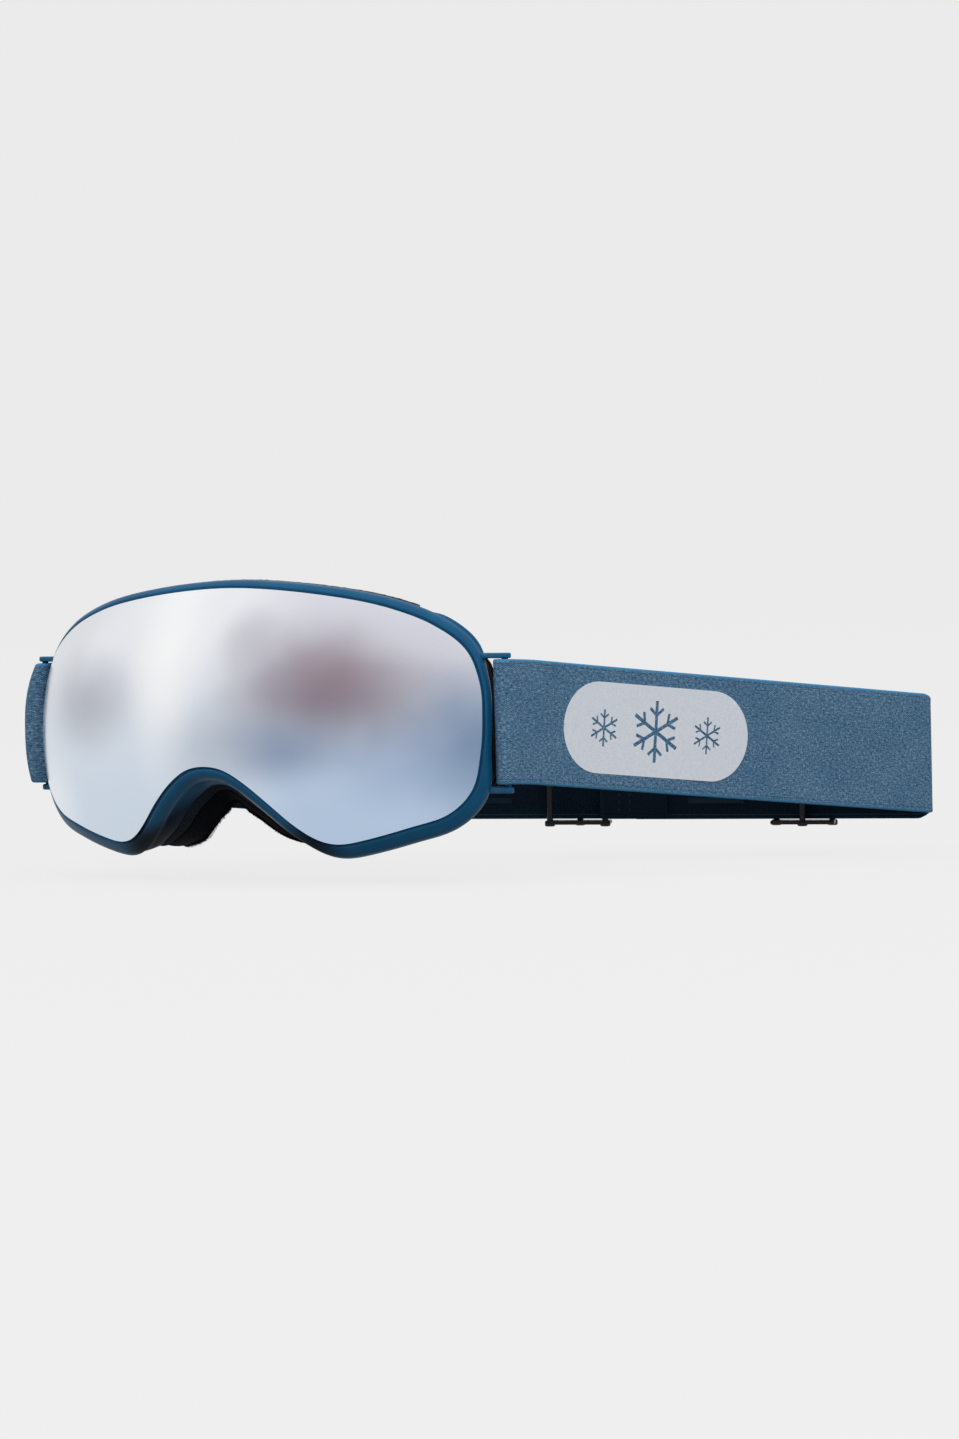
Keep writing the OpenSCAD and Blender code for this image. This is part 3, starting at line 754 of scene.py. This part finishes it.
def wobble(sec, amp, seed, along=26, across=3):
    """Gentle, smooth unevenness for soft parts."""
    n, m = sec.shape[:2]
    g = np.random.default_rng(seed)
    t = np.linspace(0, 2 * math.pi, n, endpoint=False)[:, None]
    u = np.linspace(0, 2 * math.pi, m, endpoint=False)[None]
    h = np.zeros((n, m))
    for _ in range(14):
        a, b = g.integers(3, along), g.integers(0, across)
        h += g.normal() * np.cos(a * t + b * u + g.uniform(0, 6.28)) / math.sqrt(a)
    centre = sec.mean(1, keepdims=True)
    d = sec - centre
    return sec + d / np.maximum(np.linalg.norm(d, axis=2, keepdims=True), 1e-6) * (amp * h[..., None])


def layer_pts(a, b, w0, w1, rows=1, bulge=0.0):
    """Corner points of a foam layer. Extra points on the two walls let them bow outwards."""
    pts = [rear(w0 + lean(a), a)]
    if bulge:
        mid = 0.5 * (a + b)
        pts.append(rear(w0 + lean(mid) - bulge, mid))
    pts.append(rear(w0 + lean(b), b))
    pts.append(rear(w1 + lean(b), b))
    if bulge:
        pts.append(rear(w1 + lean(mid) + bulge, mid))
    pts.append(rear(w1 + lean(a), a))
    return pts


def build_foam():
    base = rounded(layer_pts(0.02, BASE_T + 0.15, 0.2, FW, bulge=0.25), [0.7] * 6, 5)
    me = ring_mesh("charcoal", wobble(base, 0.05, 3))
    outward(me)
    b = add_obj("face_foam_charcoal", me, M_CHAR)
    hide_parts("face_foam_base")
    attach(b, "goggle")
    core = rounded(layer_pts(BASE_T + 0.1, BASE_T + CORE_T + 0.1, 0.4, FW - 0.2, bulge=0.55), [1.5, 4, 1.6, 1.6, 4, 1.5], 6)
    me = ring_mesh("black", wobble(core, 0.07, 5))
    outward(me)
    c = add_obj("face_foam_black", me, M_BLACK)
    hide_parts("face_foam_core")
    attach(c, "goggle")


def fleece_section():
    a, b = BASE_T + CORE_T + 0.0, BASE_T + CORE_T + FLEECE_T
    return rounded(layer_pts(a, b, 0.1, FW + 0.1), [0.3, 0.95, 0.95, 0.3], 7)


def build_fleece():
    sec = fleece_section()
    n, m = sec.shape[:2]
    me = ring_mesh("fleece", sec)
    outward(me)
    f = add_obj("face_fleece_pad", me, M_FLEECE)
    # the cover puffs up between its two glued edges
    pin = f.vertex_groups.new(name="glued")
    k = m // 4
    glued = [i * m + j for i in range(n) for j in range(m) if j < 5 or j >= m - 5]
    pin.add(glued, 1.0, "REPLACE")
    mod = f.modifiers.new("cover", "CLOTH")
    cs = mod.settings
    cs.quality = 4
    cs.mass = 0.05
    cs.tension_stiffness = 12
    cs.compression_stiffness = 4
    cs.bending_stiffness = 0.02
    cs.vertex_group_mass = "glued"
    cs.use_pressure = True
    cs.uniform_pressure_force = 0.6
    cs.shrink_min = -0.012
    cs.effector_weights.gravity = 0.0
    mod.collision_settings.use_collision = False
    mod.point_cache.frame_start = 1
    mod.point_cache.frame_end = 14
    sc = bpy.context.scene
    for fr in range(1, 15):
        sc.frame_set(fr)
    dg = bpy.context.evaluated_depsgraph_get()
    got = np.zeros(len(f.data.vertices) * 3)
    f.evaluated_get(dg).data.vertices.foreach_get("co", got)
    f.modifiers.clear()
    sc.frame_set(1)
    rest = to_row(sec.reshape(-1, 3))
    move = got.reshape(-1, 3) - rest
    size = np.linalg.norm(move, axis=1, keepdims=True)
    move *= np.minimum(1.0, 0.0006 / np.maximum(size, 1e-9))
    move[np.isnan(move)] = 0
    f.data.vertices.foreach_set("co", (rest + move).ravel())
    f.data.update()
    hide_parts("face_fleece")
    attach(f, "goggle")
    # short loose fibres on the face side and both edges
    g = np.random.default_rng(11)
    sec2 = fleece_section()
    count = 15000
    i = g.integers(0, n, count)
    # most fibres stand on the two edges, where they show against the light
    lo, hi = 4, m - 5
    j = g.integers(lo, hi, count)
    p = sec2[i, j]
    centre = sec2.mean(1)[i]
    nrm = unit(p - centre)
    nrm = unit(nrm + np.array([0, 0.35, 0]) + g.normal(0, 0.45, (count, 3)))
    length = g.uniform(0.25, 0.85, count)[:, None]
    side = unit(np.cross(nrm, g.normal(size=(count, 3)))) * 0.035
    bend = g.normal(0, 0.12, (count, 3))
    mid = p + nrm * length * 0.55 + bend * 0.5
    tip = p + nrm * length + bend
    root = p - nrm * 0.15
    v = np.stack([root - side, root + side, mid + side * 0.8, mid - side * 0.8, tip], 1).reshape(-1, 3)
    f5 = np.arange(count)[:, None] * 5
    quads = [tuple(q) for q in (f5 + np.array([0, 1, 2, 3]))]
    tris = [tuple(q) for q in (f5 + np.array([3, 2, 4]))]
    fz = add_obj("face_fleece_fibres", mesh_from("fibres", to_row(v), quads + tris), M_FLEECE)
    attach(fz, "goggle")


def build_vent_foam():
    idx = np.where((PZ > 25) & (AX < 62.5))[0]
    order = idx[np.argsort(PX[idx])]
    pts = [pb(-1.4, 0, 1.0), pb(0.75, 0, 0.8), pb(0.95, -0.5 * TAPER, 0.5 * BD * DK), pb(-1.4, -0.78 * TAPER, 0.78 * BD * DK)]
    sec = rounded(pts, [0.4, 0.7, 0.7, 0.4], 5)[order]
    n, m = sec.shape[:2]
    g = np.random.default_rng(5)
    up = np.array([0, 0, 1.0])
    sec = sec + g.normal(0, 0.045, (n, m, 3)) * up
    f = [tuple(q) for q in grid_faces(n, m, False, True)] + [tuple(range(m)), tuple((n - 1) * m + k for k in range(m))[::-1]]
    me = mesh_from("vent", to_row(sec.reshape(-1, 3)), f)
    outward(me)
    o = add_obj("top_vent_foam_strip", me, M_VENT, True, 55)
    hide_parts("top_vent_foam")
    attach(o, "goggle")


# ---------------------------------------------------------------- strap
NA, FA, LOOP_S, NEAR_LEN = 70.2, 25.1, 20.0, 164.0
DROP, FOLD_R, FAR_DROP = 0.104, 4.0, 0.013
PITCH = 2 * WEB_T + 1.4
ND = np.array([math.cos(rad(NA)), math.sin(rad(NA))])
FD = np.array([math.cos(rad(FA)), math.sin(rad(FA))])
NEAR1 = BAR + ND * NEAR_LEN
FOLD_C = NEAR1 + FOLD_R * np.array([-ND[1], ND[0]])
FAR1 = FOLD_C + FOLD_R * np.array([math.cos(rad(FA + 90)), math.sin(rad(FA + 90))])
FN = np.array([-FD[1], FD[0]])
ZREAR = -1.5 - DROP * NEAR_LEN
RBAR = np.array([-BAR[0], BAR[1]])
RD = np.array([math.cos(rad(97)), math.sin(rad(97))])


def nearz(s):
    return -1.5 - DROP * max(s, 0)


def farpt(s):
    return FAR1 - FD * s


def farz(s):
    return ZREAR - 2.2 + FAR_DROP * s


def apt(s):
    return farpt(s) + FN * PITCH


LOOP_R, LOOP_C = 3.2, -0.4


def outer_ply(s):
    """How far the strap's outer ply lies outside the line from the bar, s along it."""
    return (LOOP_R - WEB_T / 2) * (1 - float(sst(-6.0, 40.0, np.array(float(s)))))


def loop_line(bar, d, w_out, tail):
    """Centre line of the ply that goes from its sewn tail round the bar and back out: (x, y, s)."""
    w = np.array([-d[1], d[0]]) * w_out   # towards the outer face
    r = LOOP_R - WEB_T / 2
    pts = [(s, outer_ply(s) - WEB_T - 0.06) for s in (tail, 17, 14.5, 12.5)] + [(8.5, -0.95), (4.5, -r + 0.35), (1.6, -r)]
    for a in np.linspace(-90, -270, 15):
        pts.append((LOOP_C + r * math.cos(rad(a)), r * math.sin(rad(a))))
    pts += [(s, outer_ply(s)) for s in (2.5, 6, 10, 14, 18, 22, 27)]
    return [(*(bar + d * s + w * n), s, n) for s, n in pts]


def resample(p, step):
    p = np.asarray(p, float)
    keep = np.concatenate([[True], np.linalg.norm(np.diff(p[:, :2], axis=0), axis=1) > 1e-4])
    p = p[keep]
    # Catmull-Rom through the points, then even steps
    out = []
    n = len(p)
    for i in range(n - 1):
        a, b, c, d = p[max(i - 1, 0)], p[i], p[i + 1], p[min(i + 2, n - 1)]
        la, lb, lc = (max(np.linalg.norm((q - r)[:2]), 1e-3) for q, r in ((b, a), (c, b), (d, c)))
        m1 = (c - a) / (la + lb) * lb
        m2 = (d - b) / (lb + lc) * lb
        t = np.linspace(0, 1, 14, endpoint=False)[:, None]
        h = t**3
        q2 = t**2
        out.append((2 * h - 3 * q2 + 1) * b + (h - 2 * q2 + t) * m1 + (-2 * h + 3 * q2) * c + (h - q2) * m2)
    q = np.vstack(out + [p[-1:]])
    s = np.concatenate([[0], np.cumsum(np.linalg.norm(np.diff(q[:, :3], axis=0), axis=1))])
    k = max(4, int(s[-1] / step))
    u = np.linspace(0, s[-1], k)
    return np.stack([np.interp(u, s, q[:, j]) for j in range(q.shape[1])], 1), u


def eased(p, sigma):
    """Rounds the bends of a line of points and holds its ends."""
    p = np.asarray(p, float)
    u = np.concatenate([[0], np.cumsum(np.linalg.norm(np.diff(p[:, :3], axis=0), axis=1))])
    t = np.linspace(0, u[-1], max(8, int(u[-1])))
    q = np.stack([np.interp(t, u, p[:, j]) for j in range(p.shape[1])], 1)
    h = int(3 * sigma)
    w = np.exp(-0.5 * (np.arange(-h, h + 1) / sigma) ** 2)
    w /= w.sum()
    ext = np.vstack([2 * q[0] - q[h:0:-1], q, 2 * q[-1] - q[-2:-h - 2:-1]])
    out = np.stack([np.convolve(ext[:, j], w, "valid") for j in range(q.shape[1])], 1)
    return [tuple(v) for v in out[::4]] + [tuple(out[-1])]


def ribbon(name, line, step, t, h, mat, out_sign, bulge=None, seed=0, round_end=(), wave=0.0, tilt=None):
    """A webbing ply swept along a line of (x, y, z). Its edges are rounded, and side is 1 on the outer face."""
    q, u = resample(line, step)
    tan = unit(np.gradient(q[:, :2], axis=0))
    w = np.stack([-tan[:, 1], tan[:, 0]], 1) * out_sign
    nv = 30
    e = t / 2
    vs = np.concatenate([np.linspace(-h / 2 + e, h / 2 - e, nv)])
    prof = [(v, e, 1.0) for v in vs]
    prof += [(h / 2 - e + e * math.cos(rad(a)), e * math.sin(rad(a)), 0.5 + 0.5 * math.sin(rad(a))) for a in (60, 25, -25, -60)]
    prof += [(v, -e, 0.0) for v in vs[::-1]]
    prof += [(-h / 2 + e - e * math.cos(rad(a)), -e * math.sin(rad(a)), 0.5 - 0.5 * math.sin(rad(a))) for a in (60, 25, -25, -60)]
    prof = np.array(prof)
    # the selvedge is a little thicker than the body of the webbing
    thick = 1 + 0.10 * np.exp(-((np.abs(prof[:, 0]) - h / 2 + 0.9) / 0.6) ** 2)
    g = np.random.default_rng(seed)
    n, m = len(q), len(prof)
    off = np.zeros((n, m))
    for _ in range(8):
        off += g.normal() * wave * np.sin(u[:, None] / g.uniform(9, 40) + prof[None, :, 0] / g.uniform(14, 40) + g.uniform(0, 6.28))
    dv = np.zeros((n, m))
    for cut_s, rad_mm in round_end:
        # rounds the corners at the fold
        cut_u = u[np.argmin(np.abs(q[:, 3] - cut_s))]
        near = np.clip(1 - np.abs(u - cut_u) / (1.6 * rad_mm), 0, 1)
        lim = h / 2 - rad_mm * (1 - np.sqrt(np.clip(1 - near**2, 0, 1)))
        dv += np.clip(np.abs(prof[None, :, 0]) - lim[:, None], 0, None) * -np.sign(prof[None, :, 0])
    depth = prof[None, :, 1] * thick[None] + off
    x = q[:, 0:1] + w[:, 0:1] * depth
    y = q[:, 1:2] + w[:, 1:2] * depth
    z = q[:, 2:3] + prof[None, :, 0] + dv
    if bulge is not None:
        amount = bulge[0](prof[None, :, 0], q[:, 3:4], q[:, 4:5])
        x, y = x + bulge[1][0] * amount, y + bulge[1][1] * amount
    v = np.stack([x, y, z], 2).reshape(-1, 3)
    f = [tuple(k) for k in grid_faces(n, m, False, True)] + [tuple(range(m)), tuple((n - 1) * m + k for k in range(m))[::-1]]
    me = mesh_from(name, to_row(v), f)
    uv = np.stack([np.repeat(u, m), (np.tile(prof[:, 0], n))], 1)
    set_uv(me, uv)
    set_attr(me, "side", np.tile(prof[:, 2], n))
    outward(me)
    return add_obj(name, me, mat, True, 60)


def stitches(name, rows, body, slot_mat=M_THREAD):
    """Raised thread stitches. rows hold (centre, along, face normal, length) in millimetres."""
    parts = []
    for c, along, nrm, ln in rows:
        c, along, nrm = (np.asarray(k, float) for k in (c, along, nrm))
        third = np.cross(along, nrm)
        seg, ringn = 7, 8
        v = []
        for k in range(seg):
            t = -1 + 2 * k / (seg - 1)
            r = 0.19 * math.sqrt(max(1 - abs(t) ** 3, 0.03))
            lift_mm = 0.10 * (1 - t * t) - 0.06
            for a in np.linspace(0, 2 * math.pi, ringn, endpoint=False):
                v.append(c + along * (t * ln / 2) + nrm * (lift_mm + r * math.cos(a)) + third * r * math.sin(a))
        f = [tuple(q) for q in grid_faces(seg, ringn, False, True)] + [tuple(range(ringn)), tuple((seg - 1) * ringn + k for k in range(ringn))[::-1]]
        parts.append((to_row(np.array(v)), f))
    me = join_meshes(name, parts)
    outward(me)
    o = add_obj(name, me, slot_mat)
    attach(o, body)
    return o


def build_straps():
    up = np.array([0, 0, 1.0])
    # left: tail, loop, straight side, rear fold, far half
    line = []
    for x, y, s, n in loop_line(BAR, ND, -1, 19.6):
        line.append((x, y, nearz(s) - 0.4 * (1 - float(sst(-2, 10, np.array(s)))), s, n))
    out_w = np.array([ND[1], -ND[0]])
    for s in (33, 40):
        p = BAR + ND * s + out_w * outer_ply(s)
        line.append((p[0], p[1], nearz(s), s, 2.5))
    for s in np.linspace(50, NEAR_LEN - 1, 9):
        p = BAR + ND * s
        line.append((p[0], p[1], nearz(s), s, 2.5))
    for a in np.arange(0, 135.1, 13.5):
        q = FOLD_C + FOLD_R * np.array([math.cos(rad(NA - 90 + a)), math.sin(rad(NA - 90 + a))])
        line.append((q[0], q[1], ZREAR - 2.2 * a / 135, 170 + a / 30, 2.5))
    for s in (4, 15, 30, 45, 60, 75, 91):
        p = farpt(s)
        line.append((p[0], p[1], farz(s), 180 + s, 2.5))
    left = ribbon("strap_left_fabric", line, 0.9, WEB_T, 2 * HW, M_WEB, -1, seed=4, wave=0.035, round_end=((172.2, 3.6),))
    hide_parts("strap_left_band", "left_end_loop")
    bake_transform(left)
    # right: tail, loop, curve round the temple, far half
    line = []
    for x, y, s, n in loop_line(RBAR, RD, 1, 19.6):
        zz = ZC - 2.0 * float(sst(6, 24, np.array(s)))
        line.append((x, y, zz, s, n))
    for p, zz, s in ((RBAR + RD * 34, ZC - 4.6, 34), (np.array([-84.5, 80.5]), ZC - 7.8, 46), (np.array([-70, 91.0]), ZC - 10.4, 64)):
        line.append((p[0], p[1], zz, s, 2.5))
    for k in (172, 155, 140, 120, 100, 85, 70, 57):
        p = apt(k)
        line.append((p[0], p[1], farz(k), 100 + (172 - k), 2.5))
    line = line[:26] + eased(line[26:], 7.0)

    def bow(v, s, n):
        # slack webbing bows out beyond the lug, most at mid-height
        shape = 4.3 * np.clip(1 - np.abs((v + 3.0) / 21) ** 2.6, -0.2, 1)
        return shape * (1 - sst(16, 52, s)) * (0.12 + 0.88 * sst(-2.6, 1.6, n))

    wv = np.array([-RD[1], RD[0]])
    right = ribbon("strap_right_fabric", line, 0.9, WEB_T, 2 * HW, M_WEB, 1, bulge=(bow, wv), seed=9, wave=0.035)
    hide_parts("strap_right_band", "right_end_loop")
    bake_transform(right)
    # stitching through both plies of each loop
    for nm, bar, d, w, body, nodes in (("left_loop_seam", BAR, ND, -1, "left_loop", "left_loop_stitching"),
                                       ("right_loop_seam", RBAR, RD, 1, "right_loop", "right_loop_stitching")):
        wv = np.array([-d[1], d[0]]) * w
        rows = []
        for s in (13.6, 16.8):
            for k in range(15):
                zz = (nearz(s) if nm.startswith("left") else ZC - 2.0 * float(sst(6, 24, np.array(s)))) - 16.6 + k * 33.2 / 14
                for sg in (1, -1):
                    n = outer_ply(s) if sg > 0 else outer_ply(s) - WEB_T - 0.06
                    extra = 0.0
                    if nm.startswith("right"):
                        extra = float(bow(np.array(zz - ZC + 2.0 * float(sst(6, 24, np.array(s)))), np.array(s), np.array(n)))
                    c = bar + d * s + wv * (n + sg * (WEB_T / 2 + 0.02) + extra)
                    rows.append(((c[0], c[1], zz), up, (*(wv * sg), 0), 1.7))
        st = stitches(nm, rows, body)
        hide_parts(nodes)


def far_frame(s, sgn=1):
    """Turns local millimetres (along the far band, across it, up) at station s into lens-frame millimetres."""
    p = farpt(s)
    slope = math.atan(FAR_DROP)

    def f(v):
        v = np.asarray(v, float).reshape(-1, 3)
        x = v[:, 0] * math.cos(slope) + v[:, 2] * math.sin(slope)
        z = -v[:, 0] * math.sin(slope) + v[:, 2] * math.cos(slope)
        return np.stack([p[0] + FD[0] * x + FN[0] * v[:, 1], p[1] + FD[1] * x + FN[1] * v[:, 1], farz(s) + z], 1)

    return f


BS = 9.0
MIDOFF = WEB_T / 2 + 0.35 + 1.0
S1, S2 = 110.0, 37.0


def build_sliders():
    for nm, node, body, s, lay, mid in (("front_slider_frame", "front_slider", "front_adjuster", S1, 0.0, PITCH + MIDOFF),
                                        ("rear_slider_frame", "rear_slider", "rear_adjuster", S2, PITCH, -MIDOFF)):
        F = far_frame(s)
        zh = HW + 0.4
        lo, hi = min(lay, mid) - 1.2, max(lay, mid) + 1.2
        parts = []
        for sg in (1, -1):
            zc = sg * (zh + 0.6)
            v, f = rounded_box(0, (lo + hi) / 2, zc, 2 * BS + 2.6, hi - lo, 1.3, 0.45, 4)
            parts.append((to_row(F(v)), f))
            for x in (-BS, 0, BS):
                y = mid if x == 0 else lay
                z0, z1 = (zh - 0.1, zh + 1.8) if sg > 0 else (-zh - 1.8, -zh + 0.1)
                v, f = cyl(x, y, z0, z1, 1.7, 28, 0.5)
                parts.append((to_row(F(v)), f))
        for x in (-BS, 0, BS):
            v, f = cyl(x, mid if x == 0 else lay, -zh - 0.5, zh + 0.5, 1.0, 24, 0.2)
            parts.append((to_row(F(v)), f))
        me = join_meshes(nm, parts)
        outward(me)
        o = add_obj(nm, me, M_SLIDER, True, 40)
        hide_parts(node)
        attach(o, body)
    lt, leg = 0.7, 20.0
    r = WEB_T / 2 + 0.35 + lt / 2
    for nm, node, seam, seam_node, body, s, x0, y0, dirn in (
            ("front_tab_fabric", "front_sewn_tab", "front_tab_seam", "front_tab_stitching", "front_adjuster", S1, BS, 0.0, 1),
            ("rear_tab_fabric", "rear_sewn_tab", "rear_tab_seam", "rear_tab_stitching", "rear_adjuster", S2, -BS, PITCH, -1)):
        F = far_frame(s)
        pts = [(leg, -r), (15, -r), (10, -r), (5, -r), (1, -r)] + [(r * math.cos(rad(a)), r * math.sin(rad(a))) for a in np.linspace(-90, -270, 13)]
        pts += [(1, r), (5, r), (10, r), (15, r), (leg, r)]
        loc = np.array([(x0 + dirn * px, y0 + dirn * py, 0) for px, py in pts])
        w = F(loc)
        line = [(*k, i) for i, k in enumerate(w)]
        o = ribbon(nm, line, 0.8, lt, 2 * HW - 0.4, M_TAB, -1, seed=21 + int(s), wave=0.01)
        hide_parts(node)
        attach(o, body)
        rows = []
        for sx in (4.8, 8.2):
            for k in range(14):
                zz = -16.0 + k * 32.0 / 13
                for sg in (1, -1):
                    c = F([(x0 + dirn * sx, y0 + sg * (r + lt / 2 + 0.02), zz)])[0]
                    rows.append((c, (0, 0, 1.0), (*(FN * sg), 0), 1.6))
        st = stitches(seam, rows, body, M_THREAD_DARK)
        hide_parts(seam_node)


def build_marks():
    n = frame["nodes"]
    # the print is laid on the webbing, which lies a little outside its straight line near the bar
    src = n["strap_print"].data
    bm = bmesh.new()
    bm.from_mesh(src)
    bmesh.ops.remove_doubles(bm, verts=bm.verts, dist=1e-6)
    for _ in range(6):
        long_edges = [e for e in bm.edges if e.calc_length() > 0.0018]
        if not long_edges:
            break
        bmesh.ops.subdivide_edges(bm, edges=long_edges, cuts=1)
        bmesh.ops.triangulate(bm, faces=[f for f in bm.faces if len(f.verts) > 3])
    out_w = np.array([ND[1], -ND[0]])
    for v in bm.verts:
        p = np.array(v.co) * 1000 + ORG
        s = float((p[:2] - BAR) @ ND)
        k = outer_ply(s) - 0.12
        v.co.x += out_w[0] * k / 1000
        v.co.y += out_w[1] * k / 1000
    me = bpy.data.meshes.new("print_patch")
    bm.to_mesh(me)
    bm.free()
    pr = add_obj("strap_print_patch", me, M_PRINT, False)
    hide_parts("strap_print")
    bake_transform(pr)
    for name, mt in (("silicone_grip", M_GRIP),):
        o = n[name]
        o.data.materials.clear()
        o.data.materials.append(mt)
        o.data.polygons.foreach_set("use_smooth", [False] * len(o.data.polygons))
        mod = o.modifiers.new("edge", "BEVEL")
        mod.width = 0.00008
        mod.segments = 2
        mod.limit_method = "ANGLE"
        mod.angle_limit = rad(50)


def build_stage():
    """A pale sweep under and behind the goggles, a studio world, and three area lamps that reflections don't see."""
    sc = bpy.context.scene
    sc.view_settings.view_transform = "Standard"
    sc.view_settings.look = "None"
    w = bpy.data.worlds.new("studio")
    sc.world = w
    w.use_nodes = True
    nt = w.node_tree
    bg = nt.nodes["Background"]
    tc = nt.nodes.new("ShaderNodeTexCoord")
    sep = nt.nodes.new("ShaderNodeSeparateXYZ")
    ramp = nt.nodes.new("ShaderNodeMapRange")
    nt.links.new(tc.outputs["Generated"], sep.inputs[0])
    nt.links.new(sep.outputs[2], ramp.inputs[0])
    ramp.inputs[1].default_value, ramp.inputs[2].default_value = -1.0, 1.0
    ramp.inputs[3].default_value, ramp.inputs[4].default_value = 0.735, 0.995
    soft = nt.nodes.new("ShaderNodeMapRange")
    nt.links.new(sep.outputs[2], soft.inputs[0])
    soft.inputs[1].default_value, soft.inputs[2].default_value = -0.15, 0.9
    soft.inputs[3].default_value, soft.inputs[4].default_value = 0.08, 1.15
    path = nt.nodes.new("ShaderNodeLightPath")
    pick = nt.nodes.new("ShaderNodeMix")
    nt.links.new(path.outputs["Is Diffuse Ray"], pick.inputs[0])
    nt.links.new(ramp.outputs[0], pick.inputs[2])
    nt.links.new(soft.outputs[0], pick.inputs[3])
    nt.links.new(pick.outputs[0], bg.inputs["Strength"])
    bg.inputs["Color"].default_value = (1, 1, 1, 1)

    m = Mat("studio_sweep")
    mm = m.obj()
    f = m.noise(m.scaled(mm, (1, 1, 1)), 0.4, 2)
    c = m.mix(f, (0.049, 0.049, 0.049), (0.051, 0.051, 0.051))
    lp = m.n("LightPath")
    glow = m.math("SUBTRACT", 0.791, m.math("MULTIPLY", lp.outputs["Is Diffuse Ray"], 0.70))
    m.set(color=c, rough=0.95, spec=0.0, emit=(1, 1, 1, 1), emit_s=glow)
    # floor, curved up into a wall well behind the object
    prof = [(-9.0, 0.0), (5.0, 0.0)]
    for a in np.linspace(0, 90, 24)[1:]:
        prof.append((5.0 + 4.0 * math.sin(rad(a)), 4.0 - 4.0 * math.cos(rad(a))))
    prof.append((9.0, 12.0))
    ax = rad(34.5)
    back = np.array([-math.sin(ax), math.cos(ax)])
    across = np.array([math.cos(ax), math.sin(ax)])
    v, nx = [], 2
    for d, z in prof:
        for k in (-14.0, 14.0):
            p = back * d + across * k
            v.append((p[0], p[1], z - 0.0075))   # clear of the strap when it tilts down
    floor = add_obj("floor", mesh_from("floor", v, grid_faces(len(prof), 2)), m.m)

    def area(name, loc, target, size, power, colour=(1, 1, 1)):
        data = bpy.data.lights.new(name, "AREA")
        data.shape = "RECTANGLE"
        data.size, data.size_y = size
        data.energy = power
        data.color = colour
        o = bpy.data.objects.new(name, data)
        sc.collection.objects.link(o)
        o.location = loc
        o.rotation_euler = (Vector(target) - Vector(loc)).to_track_quat("-Z", "Y").to_euler()
        o.visible_glossy = False
        return o

    area("key", (-0.9, -1.5, 1.5), (0, 0, 0.04), (1.0, 1.0), 12.0)
    area("side", (1.6, -0.9, 0.9), (0.05, 0, 0.04), (0.9, 0.9), 13.0)
    area("top", (0.1, 0.3, 1.9), (0, 0, 0.04), (1.2, 1.2), 5.0)


build_frame()
build_lenses()
build_foam()
build_fleece()
build_vent_foam()
build_straps()
build_sliders()
build_marks()
build_stage()
